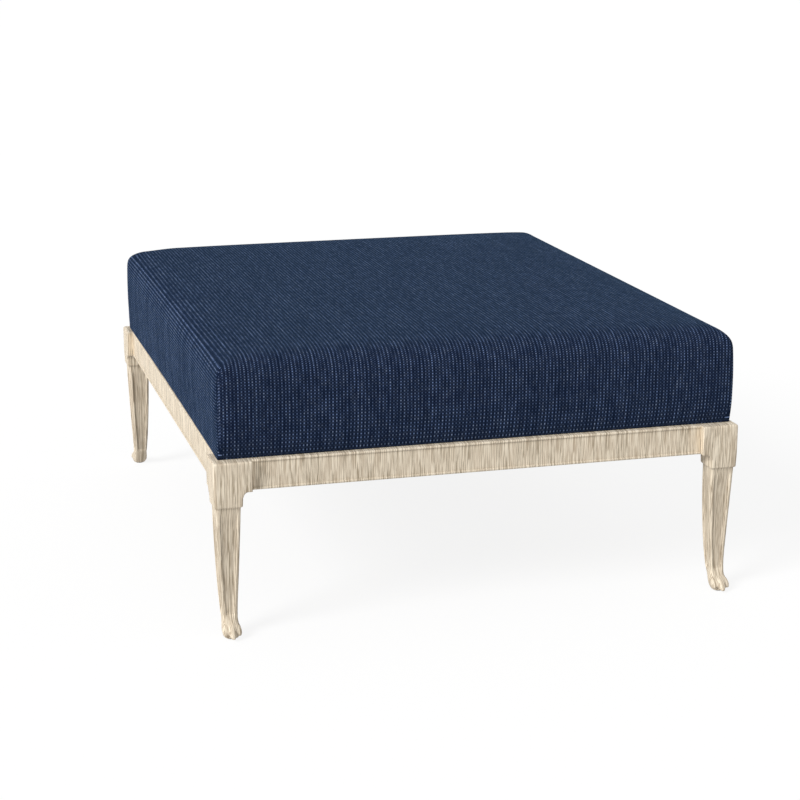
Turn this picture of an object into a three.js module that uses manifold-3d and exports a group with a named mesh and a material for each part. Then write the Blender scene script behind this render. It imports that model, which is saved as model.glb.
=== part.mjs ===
// Outdoor ottoman footstool: four cast corner legs with paw feet, four hollow rails, a slatted deck
// and one loose box cushion with a zip in its back side. Millimetres, +Z up. The origin is on the
// floor under the middle of the frame, and the front faces -Y.
import * as THREE from "three";
import { mergeVertices } from "three/addons/utils/BufferGeometryUtils.js";
import Module from "manifold-3d";

const wasm = await Module();
wasm.setup();

// Frame
const frame_width = 762; // over the corner blocks, along X
const frame_depth = 889; // over the corner blocks, along Y
const frame_height = 248.5; // floor to the top of the rails
const piece_gap = 0.3; // between pieces that touch
const cut_overrun = 2; // how far a cut or a join runs past the face that it crosses

// Corner block and the stubs that reach from it toward the rails
const block_side = 41;
const block_height = 63.5;
const block_draft = 0.75; // how much each side draws in below the stubs
const block_edge = 2.5;
const stub_length = 12.5;
const stub_fillet = 7;
const spigot_length = 26;

// Rails
const rail_height = 42.5;
const rail_thickness = 24;
const rail_setback = 9; // from the block's face to the rail's
const rail_wall = 3;
const rail_lip = 4; // height of the top lip and of the bottom bead
const rail_recess = 1.5; // how deep the face lies behind them
const rail_edge = 1.2;

// Leg
const leg_side = 34.5; // just under the block
const leg_edge = 3;
const leg_bow = 3.5; // how far the leg bows inward before the paw turns out
const flute_depth = 2;
const flute_rim = 4.6; // width of the raised edge beside a flute
const flute_slope = 1.4;

// Paw
const paw_height = 26;
const paw_width = 29;
const paw_length = 24;
const paw_reach = 17.5; // from the leg's axis to the middle of the sole
const paw_corner = 7;
const toe_tip = 38.5; // from the leg's axis to the tip of the middle toe
const toe_width = 12.5;
const toe_length = 32;
const toe_height = 12;
const side_toe_tip = 31;
const side_toe_width = 12;
const side_toe_length = 30;
const side_toe_height = 12;
const side_toe_lift = 2; // the side toes ride higher than the middle one
const toe_tip_height = 3; // from the sole to the middle of a toe's tip
const sole_lift = 1; // the sole stands on its glide

// Glide
const glide_radius = 7.5;
const glide_thickness = 3;
const glide_chamfer = 0.8;
const glide_stem_radius = 3;
const glide_stem_length = 9;

// Deck
const slat_count = 6;
const slat_width = 45;
const slat_thickness = 5;
const slat_edge = 1.2;
const slat_end_gap = 2; // between a slat's end and the rail
const ledge_wall = 3;
const ledge_drop = 20; // height of the angle against the rail
const ledge_shelf = 24; // width of the angle under the slats
const ledge_end_gap = 14; // between the ledge's end and the nearest spigot
const ledge_screw_count = 3;
const ledge_screw_inset = 40; // from the ledge's end to its first screw

// Screws
const rail_screw = { shank_radius: 2.5, shank_length: 10, head_radius: 4.4, head_height: 2.6 };
const ledge_screw = { shank_radius: 2, shank_length: 8.5, head_radius: 3.6, head_height: 2.2 };
const slat_screw = { shank_radius: 1.8, shank_length: 7.4, head_radius: 3.4, head_height: 2 };

// Cushion
const cushion_inset = 6.5; // from the frame's outer faces to the cushion's widest outline
const cushion_edge_height = 139; // from the cushion's base to its top edge
const cushion_crown = 6; // how much higher the middle of the top is
const cushion_edge_radius = 30; // rounding of the top edge
const cushion_corner_radius = 10; // in plan, at the sewn corners
const cushion_tuck_in = 12; // how far the base draws in
const cushion_tuck_height = 18;
const cushion_side_bulge = 1.5;
const cushion_side_draw = 2; // how far the middle of a side draws in between its corners
const cover_thickness = 2;

// Zip in the back side of the cover
const zip_margin = 94.5; // from the cushion's side to the end of the chain
const zip_slot_height = 12;
const zip_slot_end = 12; // slot left past each end of the chain
const zip_chain_height = 5;
const zip_chain_thickness = 2;
const zip_chain_proud = 0.4; // how far the chain stands out of the cover
const zip_tape_thickness = 1.2;
const zip_tape_depth = 0.4; // how deep the tapes lie behind the cover's face
const zip_stop_length = 2.5;
const zip_stop_thickness = 1.7;
const slider_length = 13;
const slider_plate_thickness = 1.2;
const slider_flange = 1; // thickness of the flanges beside the chain
const bail_length = 9;
const bail_width = 1.6;
const bail_thickness = 1.4;
const pull_length = 28;
const pull_width = 8;
const pull_thickness = 1.4;
const pull_bar_radius = 0.8; // the round bar that turns under the bail
const pull_window_length = 7.5;
const pull_window_width = 3.2;
const pull_hole_radius = 1.8;

// Places that follow from the sizes
const leg_height = frame_height - block_height;
const rail_bottom = frame_height - rail_height;
const block_axis_x = frame_width / 2 - block_side / 2;
const block_axis_y = frame_depth / 2 - block_side / 2;
const rail_end_inset = block_side + stub_length + piece_gap;
const rail_length_x = frame_width - rail_end_inset * 2;
const rail_length_y = frame_depth - rail_end_inset * 2;
const rail_screw_inset = spigot_length / 2; // from the rail's end to its screw
const rail_screw_height = rail_height / 2;
const ledge_top = frame_height - slat_thickness - piece_gap;
const ledge_length = rail_length_y - (spigot_length + ledge_end_gap) * 2;
const ledge_face = rail_thickness + piece_gap; // behind the rail's outer face
const cushion_base = frame_height + piece_gap;
const cushion_half_x = frame_width / 2 - cushion_inset;
const cushion_half_y = frame_depth / 2 - cushion_inset;
const zip_length = (cushion_half_x - zip_margin) * 2; // of the chain
const zip_centre_height = cushion_base + cushion_edge_height / 2;

// Heights up the leg, its side and its inward bow, as shares of the leg's own sizes
const leg_station_shares = [
  { height: 0.14, side: 0.62, bow: -0.9 },
  { height: 0.18, side: 0.632, bow: -0.2 },
  { height: 0.24, side: 0.668, bow: 0.35 },
  { height: 0.32, side: 0.722, bow: 0.78 },
  { height: 0.43, side: 0.785, bow: 0.98 },
  { height: 0.54, side: 0.84, bow: 1 },
  { height: 0.65, side: 0.888, bow: 0.88 },
  { height: 0.757, side: 0.93, bow: 0.7 },
  { height: 0.865, side: 0.968, bow: 0.45 },
  { height: 1, side: 1, bow: 0 },
];
// Heights in the paw, its width, length and how far its middle has turned out, as shares of its sizes
const paw_station_shares = [
  { height: 0, width: 0.62, length: 0.72, reach: 1 },
  { height: 0.1, width: 0.74, length: 0.84, reach: 0.97 },
  { height: 0.27, width: 0.86, length: 0.95, reach: 0.88 },
  { height: 0.5, width: 0.85, length: 1, reach: 0.69 },
  { height: 0.75, width: 0.79, length: 0.93, reach: 0.4 },
];
const flute_start_share = 0.97; // of the leg's height, where the flutes begin to sink
const flute_full_share = 0.87;
const flute_end_share = 0.16;
const side_toe_place_share = 0.36; // of the paw's width, from its middle to a side toe's axis
const toe_slope = Math.PI / 6; // how steeply the toes come down from the ankle
const toe_splay = Math.PI / 14; // how far the side toes point outward

const rim_past_corner = 1.1; // the least rim, as a share of the corner's radius

// Facets
const edge_steps = 2;
const arc_steps = 4;
const screw_sides = 10;
const glide_sides = 20;
const toe_sides = 10;
const crown_steps = 4;

// Finishes
const cream_paint = new THREE.MeshStandardMaterial({ color: 0xded0b4, roughness: 0.55, metalness: 0.1 });
const deck_paint = new THREE.MeshStandardMaterial({ color: 0xd2c4a8, roughness: 0.6, metalness: 0.1 });
const navy_cloth = new THREE.MeshStandardMaterial({ color: 0x1d2f57, roughness: 0.95, metalness: 0 });
const zip_cloth = new THREE.MeshStandardMaterial({ color: 0x17233f, roughness: 0.85, metalness: 0 });
const pale_foam = new THREE.MeshStandardMaterial({ color: 0xe9e4d4, roughness: 0.95, metalness: 0 });
const grey_plastic = new THREE.MeshStandardMaterial({ color: 0x8c8a84, roughness: 0.6, metalness: 0 });
const bright_steel = new THREE.MeshStandardMaterial({ color: 0xb9bcc0, roughness: 0.35, metalness: 0.9 });

const axis_x = new THREE.Vector3(1, 0, 0);
const axis_y = new THREE.Vector3(0, 1, 0);
const axis_z = new THREE.Vector3(0, 0, 1);
const quarter_turn = Math.PI / 2;

// Solids and their joins and cuts

function solid_of(geometry) {
  const bare = geometry.clone();
  bare.deleteAttribute("normal");
  bare.deleteAttribute("uv");
  const merged = mergeVertices(bare);
  return new wasm.Manifold(
    new wasm.Mesh({
      numProp: 3,
      vertProperties: merged.attributes.position.array,
      triVerts: new Uint32Array(merged.index.array),
    }),
  );
}

function geometry_of(solid) {
  const mesh = solid.getMesh();
  const geometry = new THREE.BufferGeometry();
  geometry.setAttribute("position", new THREE.BufferAttribute(mesh.vertProperties, mesh.numProp));
  geometry.setIndex(new THREE.BufferAttribute(mesh.triVerts, 1));
  geometry.computeVertexNormals();
  return geometry;
}

function joined(geometries) {
  const solids = geometries.map(solid_of);
  return geometry_of(solids.reduce((whole, piece) => whole.add(piece)));
}

function cut(geometry, cutters) {
  const solid = solid_of(geometry);
  return geometry_of(cutters.map(solid_of).reduce((rest, cutter) => rest.subtract(cutter), solid));
}

function box_between(low, high) {
  const size = high.clone().sub(low);
  const middle = high.clone().add(low).divideScalar(2);
  return new THREE.BoxGeometry(size.x, size.y, size.z).translate(middle.x, middle.y, middle.z);
}

// A round cutter or pin from one point to another along one of the axes.
function rod_between(start, end, radius) {
  const run = end.clone().sub(start);
  const middle = end.clone().add(start).divideScalar(2);
  const rod = new THREE.CylinderGeometry(radius, radius, run.length(), screw_sides);
  rod.applyQuaternion(new THREE.Quaternion().setFromUnitVectors(axis_y, run.normalize()));
  return rod.translate(middle.x, middle.y, middle.z);
}

// A closed skin over rings of points, each ring counter-clockwise seen from above, lowest ring first.
function loft(rings) {
  const points = rings.flat();
  const across = rings[0].length;
  const faces = [];
  for (let level = 0; level + 1 < rings.length; level += 1) {
    for (let step = 0; step < across; step += 1) {
      const next = (step + 1) % across;
      const low = level * across;
      const high = low + across;
      faces.push(low + step, low + next, high + next);
      faces.push(low + step, high + next, high + step);
    }
  }
  add_cap(points, faces, rings[0], 0, true);
  add_cap(points, faces, rings[rings.length - 1], (rings.length - 1) * across, false);
  const geometry = new THREE.BufferGeometry().setFromPoints(points);
  geometry.setIndex(faces);
  geometry.computeVertexNormals();
  return geometry;
}

function add_cap(points, faces, ring, start, facing_down) {
  const centre = new THREE.Vector3();
  ring.forEach((point) => centre.add(point));
  const hub = points.push(centre.divideScalar(ring.length)) - 1;
  for (let step = 0; step < ring.length; step += 1) {
    const here = start + step;
    const next = start + ((step + 1) % ring.length);
    faces.push(hub, facing_down ? next : here, facing_down ? here : next);
  }
}

// An outline in the plane of outward and up, drawn out along X and centred on it.
function extrude_along_x(outline, length) {
  const geometry = new THREE.ExtrudeGeometry(outline, { depth: length, bevelEnabled: false });
  geometry.applyMatrix4(new THREE.Matrix4().makeBasis(axis_y, axis_z, axis_x));
  return geometry.translate(-length / 2, 0, 0);
}

// An outline in the plane of X and up, drawn out from a face at outer toward -Y.
function extrude_inward(outline, outer, depth) {
  const geometry = new THREE.ExtrudeGeometry(outline, { depth, bevelEnabled: false });
  const inward = axis_y.clone().negate();
  geometry.applyMatrix4(new THREE.Matrix4().makeBasis(axis_x, axis_z, inward));
  return geometry.translate(0, outer, 0);
}

// Insets and heights along a quarter round, from its foot to its end.
function quarter_round(run_in, run_up, steps) {
  return Array.from({ length: steps + 1 }, (_, step) => {
    const turn = (quarter_turn * step) / steps;
    return { inset: run_in * (1 - Math.cos(turn)), rise: run_up * Math.sin(turn) };
  });
}

// Corner castings

// One section of the leg: a square with rounded corners whose four sides may be fluted.
function leg_section({ height, half_x, half_y, corner, sink, shift }) {
  const points = [];
  for (let side = 0; side < 4; side += 1) {
    const turn = side * quarter_turn;
    const half_out = side % 2 === 0 ? half_x : half_y;
    const half_along = side % 2 === 0 ? half_y : half_x;
    const local = [];
    for (let step = 0; step <= edge_steps; step += 1) {
      const angle = (step / edge_steps - 1) * quarter_turn;
      const out = half_out - corner * (1 - Math.cos(angle));
      local.push([out, -half_along + corner * (1 + Math.sin(angle))]);
    }
    const rim = half_along - Math.max(flute_rim, corner * rim_past_corner);
    const floor = Math.max(rim - flute_slope, rim / 2);
    local.push([half_out, -rim], [half_out - sink, -floor], [half_out - sink, floor], [half_out, rim]);
    local.forEach(([out, along]) => {
      const x = out * Math.cos(turn) - along * Math.sin(turn);
      const y = out * Math.sin(turn) + along * Math.cos(turn);
      points.push(new THREE.Vector3(x, y + shift, height));
    });
  }
  return points;
}

function square_section(height, side, corner, sink, shift) {
  return leg_section({ height, half_x: side / 2, half_y: side / 2, corner, sink, shift });
}

function flute_sink(height_share) {
  if (height_share <= flute_end_share || height_share >= flute_start_share) return 0;
  const ramp = (flute_start_share - height_share) / (flute_start_share - flute_full_share);
  return flute_depth * Math.min(1, ramp);
}

function paw_sections() {
  return paw_station_shares.map(({ height, width, length, reach }) =>
    leg_section({
      height: sole_lift + (paw_height - sole_lift) * height,
      half_x: (paw_width * width) / 2,
      half_y: (paw_length * length) / 2,
      corner: paw_corner,
      sink: 0,
      shift: paw_reach * reach,
    }),
  );
}

function leg_sections() {
  return leg_station_shares.map(({ height, side, bow }) =>
    square_section(leg_height * height, leg_side * side, leg_edge, flute_sink(height), -leg_bow * bow),
  );
}

function block_sections() {
  const foot_side = block_side - block_draft * 2;
  const foot = quarter_round(block_edge / 2, block_edge / 2, edge_steps).reverse();
  const top = quarter_round(block_edge, block_edge, edge_steps);
  return [
    ...foot.map(({ inset, rise }) =>
      square_section(leg_height + block_edge / 2 - rise, foot_side - inset * 2, leg_edge, 0, 0),
    ),
    square_section(rail_bottom, block_side, leg_edge, 0, 0),
    ...top.map(({ inset, rise }) =>
      square_section(frame_height - block_edge + rise, block_side - inset * 2, leg_edge, 0, 0),
    ),
  ];
}

// A long rounded toe that slopes down to its tip, a distance to the side of the paw's middle.
function toe(width, length, height, tip, place, lift, splay) {
  const form = new THREE.SphereGeometry(1, toe_sides, toe_sides);
  form.rotateX(quarter_turn);
  form.scale(width / 2, length / 2, height / 2);
  form.translate(0, -length / 2, 0);
  form.rotateX(-toe_slope);
  form.rotateZ(-splay);
  return form.translate(place, tip, sole_lift + lift + toe_tip_height);
}

function side_toe(side) {
  const place = side * paw_width * side_toe_place_share;
  const splay = side * toe_splay;
  return toe(side_toe_width, side_toe_length, side_toe_height, side_toe_tip, place, side_toe_lift, splay);
}

function toes() {
  return [toe(toe_width, toe_length, toe_height, toe_tip, 0, 0, 0), side_toe(-1), side_toe(1)];
}

// The stub toward one rail: its body, the fillet under it and the spigot. The rail's outer side is +Y.
function stub_pieces(direction) {
  const face = block_side / 2;
  const depth = rail_setback + rail_thickness;
  const bar = stub_length + cut_overrun;
  const section = new THREE.Shape([
    new THREE.Vector2(face - depth, rail_bottom),
    new THREE.Vector2(face, rail_bottom),
    ...quarter_round(block_edge, block_edge, edge_steps).map(
      ({ inset, rise }) => new THREE.Vector2(face - inset, frame_height - block_edge + rise),
    ),
    new THREE.Vector2(face - depth, frame_height),
  ]);
  const body = extrude_along_x(section, bar);
  body.translate(direction * (face - cut_overrun + bar / 2), 0, 0);
  return [body, stub_fillet_piece(direction, face, depth), spigot(direction, face)];
}

function stub_fillet_piece(direction, face, depth) {
  const outline = [
    [face - cut_overrun, rail_bottom - stub_fillet],
    [face - cut_overrun, rail_bottom + cut_overrun],
    [face + stub_fillet, rail_bottom + cut_overrun],
  ];
  for (let step = 0; step <= arc_steps; step += 1) {
    const turn = (quarter_turn * step) / arc_steps;
    const across = face + stub_fillet * (1 - Math.sin(turn));
    outline.push([across, rail_bottom - stub_fillet * (1 - Math.cos(turn))]);
  }
  const shape = new THREE.Shape(outline.map(([x, z]) => new THREE.Vector2(direction * x, z)));
  return extrude_inward(shape, face, depth);
}

// The cavity of a rail in its outward and up coordinates, drawn in on all sides by a clearance.
function cavity_corners(clearance) {
  return {
    outer: -(rail_recess + rail_wall + clearance),
    inner: -(rail_thickness - rail_wall - clearance),
    low: rail_wall + clearance,
    high: rail_height - rail_wall - clearance,
  };
}

function spigot(direction, face) {
  const { outer, inner, low, high } = cavity_corners(piece_gap);
  const rail_face = face - rail_setback;
  const near = direction * (face - cut_overrun);
  const far = direction * (face + stub_length + spigot_length);
  return box_between(
    new THREE.Vector3(Math.min(near, far), rail_face + inner, rail_bottom + low),
    new THREE.Vector3(Math.max(near, far), rail_face + outer, rail_bottom + high),
  );
}

// The blind hole for a rail's screw in its spigot.
function spigot_bore(direction) {
  const face = block_side / 2;
  const across = direction * (face + stub_length + piece_gap + rail_screw_inset);
  const mouth = face - rail_setback - rail_thickness;
  const height = rail_bottom + rail_screw_height;
  return rod_between(
    new THREE.Vector3(across, mouth - cut_overrun, height),
    new THREE.Vector3(across, mouth + rail_screw.shank_length + piece_gap, height),
    rail_screw.shank_radius + piece_gap,
  );
}

function glide_cutters() {
  const recess_top = glide_thickness + piece_gap;
  const bore_top = glide_thickness + glide_stem_length + piece_gap;
  const places = [
    [recess_top, glide_radius + piece_gap, glide_sides],
    [bore_top, glide_stem_radius + piece_gap, screw_sides],
  ];
  return places.map(([top, radius, sides]) => {
    const cutter = new THREE.CylinderGeometry(radius, radius, top + cut_overrun, sides);
    cutter.rotateX(quarter_turn);
    return cutter.translate(0, paw_reach, (top - cut_overrun) / 2);
  });
}

function sole_cutter() {
  const reach = toe_tip + paw_length;
  return box_between(
    new THREE.Vector3(-paw_width, -reach, sole_lift - toe_height),
    new THREE.Vector3(paw_width, reach, sole_lift),
  );
}

// The whole casting for the corner at +X and +Y. Its paw turns out toward +Y.
function corner_casting() {
  const body = loft([...paw_sections(), ...leg_sections(), ...block_sections()]);
  const toward_x = [...stub_pieces(-1), spigot_bore(-1)];
  const toward_y = [...stub_pieces(1), spigot_bore(1)];
  toward_y.forEach((piece) => piece.rotateZ(-quarter_turn));
  const bores = [toward_x.pop(), toward_y.pop()];
  const whole = joined([body, ...toes(), ...toward_x, ...toward_y]);
  return cut(whole, [sole_cutter(), ...glide_cutters(), ...bores]);
}

function glide_form() {
  const profile = [
    [0, 0],
    [glide_radius - glide_chamfer, 0],
    [glide_radius, glide_chamfer],
    [glide_radius, glide_thickness],
    [glide_stem_radius, glide_thickness],
    [glide_stem_radius, glide_thickness + glide_stem_length],
    [0, glide_thickness + glide_stem_length],
  ];
  return turned(profile, glide_sides);
}

// A profile of radius and height turned about +Z.
function turned(profile, sides) {
  const points = profile.map(([radius, height]) => new THREE.Vector2(radius, height));
  return new THREE.LatheGeometry(points, sides).rotateX(quarter_turn);
}

// A pan-head screw along +Z: the seat of its head is at the origin and its point below.
function screw_form({ shank_radius, shank_length, head_radius, head_height }) {
  const socket_radius = shank_radius * 0.8;
  const profile = [
    [0, -shank_length],
    [shank_radius, -shank_length],
    [shank_radius, 0],
    [head_radius, 0],
    [head_radius * 0.85, head_height],
    [socket_radius, head_height],
    [socket_radius, head_height / 2],
    [0, head_height / 2],
  ];
  return turned(profile, screw_sides);
}

// Rails and deck

function rail_outline() {
  const inner = -rail_thickness;
  const outline = new THREE.Shape(
    [
      [inner, 0],
      [-rail_edge, 0],
      [0, rail_edge],
      [0, rail_lip - rail_edge],
      [-rail_recess, rail_lip],
      [-rail_recess, rail_height - rail_lip],
      [0, rail_height - rail_lip + rail_edge],
      [0, rail_height - rail_edge],
      [-rail_edge, rail_height],
      [inner, rail_height],
    ].map(([out, up]) => new THREE.Vector2(out, up)),
  );
  const cavity = cavity_corners(0);
  const corners = [
    [cavity.inner, cavity.low],
    [cavity.inner, cavity.high],
    [cavity.outer, cavity.high],
    [cavity.outer, cavity.low],
  ];
  outline.holes.push(new THREE.Path(corners.map(([out, up]) => new THREE.Vector2(out, up))));
  return outline;
}

// A hole through the rail's inner wall, at a place along the rail.
function rail_bore(across, height, radius) {
  return rod_between(
    new THREE.Vector3(across, -rail_thickness - cut_overrun, height),
    new THREE.Vector3(across, -rail_thickness + rail_wall + cut_overrun, height),
    radius + piece_gap,
  );
}

function rail_screw_places(length) {
  const across = length / 2 - rail_screw_inset;
  return [-across, across];
}

function ledge_screw_places() {
  const reach = ledge_length / 2 - ledge_screw_inset;
  const step = (reach * 2) / (ledge_screw_count - 1);
  return Array.from({ length: ledge_screw_count }, (_, index) => -reach + step * index);
}

function ledge_screw_height() {
  return ledge_top - rail_bottom - (ledge_drop + ledge_wall) / 2;
}

// A rail along X with its outer face at y = 0 facing +Y and its bottom at z = 0.
function rail_form(length, carries_ledge) {
  const bores = rail_screw_places(length).map((across) =>
    rail_bore(across, rail_screw_height, rail_screw.shank_radius),
  );
  if (carries_ledge) {
    ledge_screw_places().forEach((across) => {
      bores.push(rail_bore(across, ledge_screw_height(), ledge_screw.shank_radius));
    });
  }
  return cut(extrude_along_x(rail_outline(), length), bores);
}

function slat_places() {
  const inside = frame_depth - (rail_setback + rail_thickness) * 2;
  const space = (inside - slat_count * slat_width) / (slat_count + 1);
  const pitch = slat_width + space;
  return Array.from({ length: slat_count }, (_, index) => (index - (slat_count - 1) / 2) * pitch);
}

function slat_screw_reach() {
  return frame_width / 2 - rail_setback - ledge_face - ledge_wall - (ledge_shelf - ledge_wall) / 2;
}

// The angle that carries the slats, in the rail's own frame.
function ledge_form() {
  const back = -ledge_face;
  const top = ledge_top - rail_bottom;
  const outline = new THREE.Shape(
    [
      [back, top],
      [back - ledge_shelf, top],
      [back - ledge_shelf, top - ledge_wall],
      [back - ledge_wall, top - ledge_wall],
      [back - ledge_wall, top - ledge_drop],
      [back, top - ledge_drop],
    ].map(([out, up]) => new THREE.Vector2(out, up)),
  );
  const bores = ledge_screw_places().map((across) =>
    rod_between(
      new THREE.Vector3(across, back + cut_overrun, ledge_screw_height()),
      new THREE.Vector3(across, back - ledge_wall - cut_overrun, ledge_screw_height()),
      ledge_screw.shank_radius + piece_gap,
    ),
  );
  const shelf_middle = slat_screw_reach() - (frame_width / 2 - rail_setback);
  slat_places().forEach((across) => {
    bores.push(
      rod_between(
        new THREE.Vector3(across, shelf_middle, top - ledge_wall - cut_overrun),
        new THREE.Vector3(across, shelf_middle, top + cut_overrun),
        slat_screw.shank_radius + piece_gap,
      ),
    );
  });
  return cut(extrude_along_x(outline, ledge_length), bores);
}

function slat_form() {
  const length = frame_width - (rail_setback + rail_thickness + slat_end_gap) * 2;
  const half = slat_width / 2;
  const outline = new THREE.Shape(
    [
      [-half + slat_edge, 0],
      [half - slat_edge, 0],
      [half, slat_edge],
      [half, slat_thickness - slat_edge],
      [half - slat_edge, slat_thickness],
      [-half + slat_edge, slat_thickness],
      [-half, slat_thickness - slat_edge],
      [-half, slat_edge],
    ].map(([out, up]) => new THREE.Vector2(out, up)),
  );
  const bores = [-slat_screw_reach(), slat_screw_reach()].map((across) =>
    rod_between(
      new THREE.Vector3(across, 0, -cut_overrun),
      new THREE.Vector3(across, 0, slat_thickness + cut_overrun),
      slat_screw.shank_radius + piece_gap,
    ),
  );
  return cut(extrude_along_x(outline, length), bores);
}

// Cushion

// One level of the cushion: a rectangle with rounded corners. The back stays straight along the zip.
function cushion_ring(height, inset) {
  const half_x = cushion_half_x - inset;
  const half_y = cushion_half_y - inset;
  const radius = cushion_corner_radius;
  const draws = [cushion_side_draw, 0, cushion_side_draw, cushion_side_draw];
  const points = [];
  for (let side = 0; side < draws.length; side += 1) {
    const turn = side * quarter_turn;
    const out = side % 2 === 0 ? half_x : half_y;
    const along = (side % 2 === 0 ? half_y : half_x) - radius;
    for (let step = 1; step <= arc_steps; step += 1) {
      const angle = (step / arc_steps - 1) * quarter_turn;
      points.push(
        turned_point(out - radius * (1 - Math.cos(angle)), -along + radius * Math.sin(angle), turn, height),
      );
    }
    for (let step = 1; step <= arc_steps; step += 1) {
      const share = (step / arc_steps) * 2 - 1;
      const drawn = draws[side] * (1 - share * share);
      points.push(turned_point(out - drawn, along * share, turn, height));
    }
  }
  return points;
}

function turned_point(out, along, turn, height) {
  const x = out * Math.cos(turn) - along * Math.sin(turn);
  const y = out * Math.sin(turn) + along * Math.cos(turn);
  return new THREE.Vector3(x, y, height);
}

// The cushion's skin, drawn in evenly by an offset for the cavity of its cover and for its core.
function cushion_form(offset) {
  const low = cushion_base + offset;
  const high = cushion_base + cushion_edge_height - offset;
  const tuck = quarter_round(cushion_tuck_in, cushion_tuck_height, edge_steps).reverse();
  const edge = quarter_round(cushion_edge_radius, cushion_edge_radius, arc_steps);
  const flat = zip_slot_height * 1.25;
  const levels = [
    ...tuck.map(({ inset, rise }) => ({ inset, height: low + cushion_tuck_height - rise })),
    { inset: 0, height: zip_centre_height - flat },
    { inset: 0, height: zip_centre_height + flat },
    ...edge.map(({ inset, rise }) => ({ inset, height: high - cushion_edge_radius + rise })),
  ];
  const rings = levels.map(({ inset, height }) => cushion_ring(height, inset + offset + bulge_inset(height)));
  return loft([...rings, ...crown_rings(high, offset)]);
}

// The sides stand out most at the zip's height, and alike just over and under it.
function bulge_inset(height) {
  const share = (height - zip_centre_height) / (cushion_edge_height / 2);
  return cushion_side_bulge * share * share;
}

function crown_rings(high, offset) {
  const rings = [];
  const start = cushion_edge_radius + offset + bulge_inset(high);
  const span = Math.min(cushion_half_x, cushion_half_y) - start;
  for (let step = 1; step <= crown_steps; step += 1) {
    const share = step / (crown_steps + 1);
    const rise = cushion_crown * Math.sin(share * quarter_turn);
    rings.push(cushion_ring(high + rise, start + span * share));
  }
  return rings;
}

function zip_slot_cutter() {
  const half_length = zip_length / 2 + zip_slot_end;
  const plane = cushion_half_y;
  return box_between(
    new THREE.Vector3(-half_length, plane - cover_thickness * 2, zip_centre_height - zip_slot_height / 2),
    new THREE.Vector3(half_length, plane + cut_overrun, zip_centre_height + zip_slot_height / 2),
  );
}

function cover_form() {
  return cut(cushion_form(0), [cushion_form(cover_thickness), zip_slot_cutter()]);
}

function core_form() {
  return cushion_form(cover_thickness + piece_gap);
}

// Zip, in the frame of the back side: outward is +Y from the cover's face, and z = 0 is the chain's middle

function tape_form() {
  const half_length = zip_length / 2 + zip_slot_end - piece_gap;
  const outer = -zip_tape_depth;
  return box_between(
    new THREE.Vector3(-half_length, outer - zip_tape_thickness, zip_chain_height / 2 + piece_gap),
    new THREE.Vector3(half_length, outer, zip_slot_height / 2 - piece_gap),
  );
}

function chain_form() {
  return box_between(
    new THREE.Vector3(-zip_length / 2, zip_chain_proud - zip_chain_thickness, -zip_chain_height / 2),
    new THREE.Vector3(zip_length / 2, zip_chain_proud, zip_chain_height / 2),
  );
}

function slider_half_height() {
  return zip_chain_height / 2 + piece_gap + slider_flange;
}

function stop_form() {
  const low = piece_gap - zip_tape_depth;
  return box_between(
    new THREE.Vector3(-zip_stop_length / 2, low, -slider_half_height()),
    new THREE.Vector3(zip_stop_length / 2, low + zip_stop_thickness, slider_half_height()),
  );
}

function plate_bottom() {
  return zip_chain_proud + piece_gap;
}

function pull_axis_height() {
  return plate_bottom() + slider_plate_thickness + piece_gap + pull_bar_radius;
}

// The slider's outer plate, its flanges beside the chain and the bail over it.
function slider_form() {
  const half = slider_length / 2;
  const high = slider_half_height();
  const plate_top = plate_bottom() + slider_plate_thickness;
  const flange_low = piece_gap - zip_tape_depth;
  const bail_low = pull_axis_height() + pull_bar_radius + piece_gap;
  const bail_half = bail_length / 2;
  const plate = box_between(
    new THREE.Vector3(-half, plate_bottom(), -high),
    new THREE.Vector3(half, plate_top, high),
  );
  const flanges = [-1, 1].map((side) => {
    const edges = [side * high, side * (high - slider_flange)].sort((a, b) => a - b);
    return box_between(
      new THREE.Vector3(-half, flange_low, edges[0]),
      new THREE.Vector3(half, plate_top, edges[1]),
    );
  });
  const arch = box_between(
    new THREE.Vector3(-bail_half, bail_low, -bail_width / 2),
    new THREE.Vector3(bail_half, bail_low + bail_thickness, bail_width / 2),
  );
  const posts = [-1, 1].map((side) => {
    const edges = [side * bail_half, side * (bail_half - bail_thickness)].sort((a, b) => a - b);
    return box_between(
      new THREE.Vector3(edges[0], plate_bottom(), -bail_width / 2),
      new THREE.Vector3(edges[1], bail_low + bail_thickness, bail_width / 2),
    );
  });
  return joined([plate, ...flanges, arch, ...posts]);
}

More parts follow.
